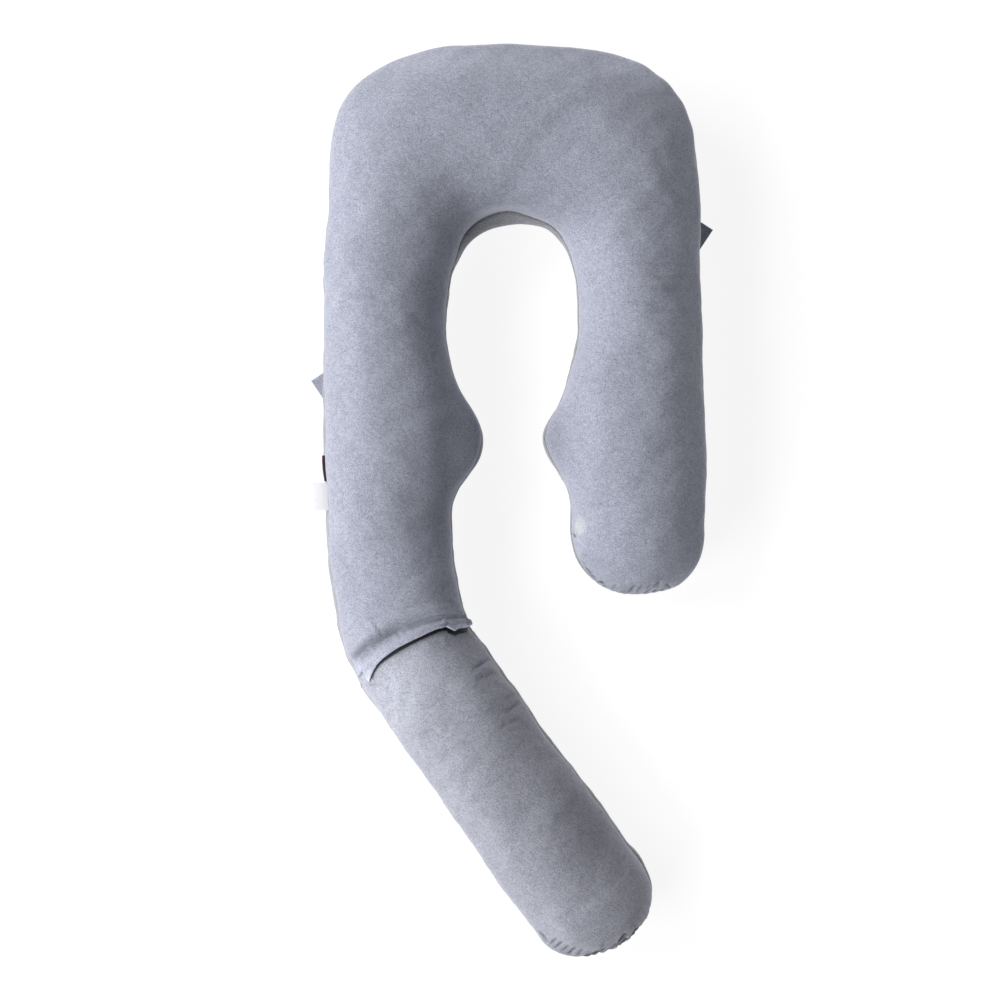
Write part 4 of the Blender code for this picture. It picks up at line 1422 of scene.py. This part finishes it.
def woven(name, color, roughness, threads, relief, fold=None):
    """A fine weave on the pattern map, with a red thread along its fold if it has one."""
    finish, tree, shader = new_finish(name, roughness)
    flat = add(tree, "ShaderNodeUVMap", {}, uv_map="pattern").outputs[0]
    warp = add(tree, "ShaderNodeTexWave", {"Vector": flat, "Scale": threads, "Distortion": 0.6},
               bands_direction="X").outputs["Fac"]
    weft = add(tree, "ShaderNodeTexWave", {"Vector": flat, "Scale": 0.6 * threads,
                                           "Distortion": 0.4}, bands_direction="Y").outputs["Fac"]
    height = maths("ADD", maths("MULTIPLY", warp, 0.7), weft)
    value = maths("ADD", maths("MULTIPLY", height, 0.08),
                  maths("MULTIPLY", noise(flat, 160.0, 3.0), 0.10))
    tint = add(tree, "ShaderNodeVectorMath", {0: color, "Scale": maths("ADD", value, 0.86)},
               operation="SCALE").outputs[0]
    if fold is not None:
        across = add(tree, "ShaderNodeSeparateXYZ", {"Vector": flat}).outputs["Y"]
        from_fold = maths("ABSOLUTE", maths("SUBTRACT", across, fold))
        tint = mixed(maths("LESS_THAN", from_fold, RED_HALF), tint, RED_THREAD)
    bump = add(tree, "ShaderNodeBump", {"Height": height, "Strength": relief, "Distance": 0.0004})
    put(shader, {"Base Color": tint, "Normal": bump.outputs[0]})
    return finish


label.data.materials.append(woven("satin_white", (0.60, 0.61, 0.63), 0.42, 1300.0, 0.3))
tab.data.materials.append(woven("tape_black", (0.018, 0.018, 0.022), 0.75, 800.0, 0.6,
                                fold=0.5 * tab_size[1]))

# %% [markdown]
# ## Stitches
# The flap and the straps are hemmed by machine: the turned-in edge is held by a row of short
# threads, all alike, about 3 mm long. So one thread is drawn, a small spindle, and Geometry
# Nodes set it along every line that they are given, turned to the line's own direction.

# %% The stitching tool
STITCH_LENGTH = 2.7 * MM
STITCH_GAP = 1.0 * MM
STITCH_THICK = 0.6 * MM


def stitch_tree():
    """The node group that lays threads end to end along mesh lines."""
    tree = bpy.data.node_groups.new("stitches", "GeometryNodeTree")
    tree.interface.new_socket("Lines", in_out="INPUT", socket_type="NodeSocketGeometry")
    for label in ("Length", "Gap", "Thickness"):
        tree.interface.new_socket(label, in_out="INPUT", socket_type="NodeSocketFloat")
    tree.interface.new_socket("Thread", in_out="INPUT", socket_type="NodeSocketMaterial")
    tree.interface.new_socket("Stitches", in_out="OUTPUT", socket_type="NodeSocketGeometry")
    given = tree.nodes.new("NodeGroupInput").outputs
    pitch = maths("ADD", given["Length"], given["Gap"])
    path = add(tree, "GeometryNodeMeshToCurve", {"Mesh": given["Lines"]}).outputs[0]
    even = add(tree, "GeometryNodeResampleCurve", {"Curve": path, "Length": pitch},
               mode="LENGTH").outputs[0]
    way = add(tree, "GeometryNodeInputTangent", {}).outputs[0]
    turn = add(tree, "FunctionNodeAlignRotationToVector", {"Vector": way}, axis="X").outputs[0]
    size = add(tree, "ShaderNodeCombineXYZ", {0: given["Length"], 1: given["Thickness"],
                                              2: given["Thickness"]}).outputs[0]
    ball = add(tree, "GeometryNodeMeshUVSphere", {"Segments": 8, "Rings": 5, "Radius": 0.5})
    spindle = add(tree, "GeometryNodeTransform", {"Geometry": ball.outputs[0], "Scale": size})
    laid = add(tree, "GeometryNodeInstanceOnPoints", {"Points": even, "Rotation": turn,
                                                      "Instance": spindle.outputs[0]})
    real = add(tree, "GeometryNodeRealizeInstances", {"Geometry": laid.outputs[0]})
    dyed = add(tree, "GeometryNodeSetMaterial", {"Geometry": real.outputs[0],
                                                 "Material": given["Thread"]})
    tree.links.new(dyed.outputs[0], tree.nodes.new("NodeGroupOutput").inputs[0])
    return tree


def stitches(name, lines):
    """A piece with all the stitches along these lines of points."""
    mesh = bpy.data.meshes.new(name + "_lines")
    starts = np.cumsum([0] + [len(line) for line in lines]).tolist()
    edges = [(i, i + 1) for start, line in zip(starts, lines)
             for i in range(start, start + len(line) - 1)]
    mesh.from_pydata(np.concatenate(lines), edges, [])
    carrier = in_scene(name + "_lines", mesh)
    sewing = carrier.modifiers.new("Sewing", "NODES")
    sewing.node_group = STITCH_TREE
    given = {"Length": STITCH_LENGTH, "Gap": STITCH_GAP, "Thickness": STITCH_THICK,
             "Thread": hem_thread}
    for item in STITCH_TREE.interface.items_tree:
        if item.name in given:
            sewing[item.identifier] = given[item.name]
    sewn = carrier.evaluated_get(bpy.context.evaluated_depsgraph_get())
    piece = in_scene(name, bpy.data.meshes.new_from_object(sewn))
    bpy.data.objects.remove(carrier, do_unlink=True)
    piece.data.shade_smooth()
    print(f"{name}: {len(piece.data.polygons)} faces")
    return piece


STITCH_TREE = stitch_tree()
hem_thread, tree, thread_shader = new_finish("hem_thread", 0.6)
twist = noise(add(tree, "ShaderNodeTexCoord", {}).outputs["Object"], 900.0)
put(thread_shader, {"Base Color": mixed(twist, (0.24, 0.25, 0.31, 1.0), (0.58, 0.60, 0.67, 1.0))})

# %% Sew the hems
END_ROWS = 3                         # rows of the rounded edge, left without stitches


def line_near(shares, share):
    """The grid line nearest to this share of the way across."""
    return int(np.argmin(np.abs(shares - share)))


hem = line_near(FLAP_ACROSS, 1 - HEM_INSET / FLAP_WIDTH)
sewn_down = line_near(FLAP_ACROSS, 0.1)
end = line_near(FLAP_ALONG, HEM_INSET / FLAP_LENGTH)
normals = upward(flap_shape)
normals *= np.sign(np.sum(normals * flap_ways))
flap_top = flap_shape + (0.5 * FLAP_THICK + 0.1 * MM) * normals
flap_stitches = stitches("flap_stitches", [flap_top[end:-END_ROWS, hem],
                                           flap_top[END_ROWS:-END_ROWS, sewn_down],
                                           flap_top[end, sewn_down:hem + 1]])

edge = line_near(STRAP_ACROSS, STRAP_EDGE / STRAP_WIDE)
for strap in straps:
    on_floor = strap.grid[..., 2] < STRAP_CLEAR + 0.5 * STRAP_THICK + 0.6 * MM
    raised = strap.grid + np.array((0.0, 0.0, 0.5 * STRAP_THICK))
    length = float(np.linalg.norm(strap.grid[0, -1] - strap.grid[0, 0]))
    column = line_near(STRAP_ALONG, 1 - STRAP_HEM / length)
    lines = [raised[row, on_floor[row]][:-END_ROWS] for row in (edge, len(raised) - 1 - edge)]
    lines.append(raised[edge:len(raised) - edge, column])
    strap.stitches = stitches(strap.node + "_stitches", lines)

# %% Fit the pieces to the frame
Cloth = namedtuple("Cloth", "piece node slot size held area sewn", defaults=(None, ()))
cloths = [
    Cloth(flap, "joint_flap", "flap_velvet", flap_size, "laid", None, [flap_stitches]),
    Cloth(label, "side_label", "label_satin", label_size, "hung"),
    Cloth(tab, "seam_tab", "tab_weave", tab_size, "folded"),
]
cloths += [Cloth(strap.piece, strap.node, "strap_velvet", strap.size, "laid", strap.area,
                 [strap.stitches]) for strap in straps]
for cloth in cloths:
    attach(cloth.piece, "root")
    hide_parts(cloth.node)
    for sewn in cloth.sewn:
        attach(sewn, "root")
    print(cloth.piece.name, "stands for", cloth.node, "and is", cloth.held)
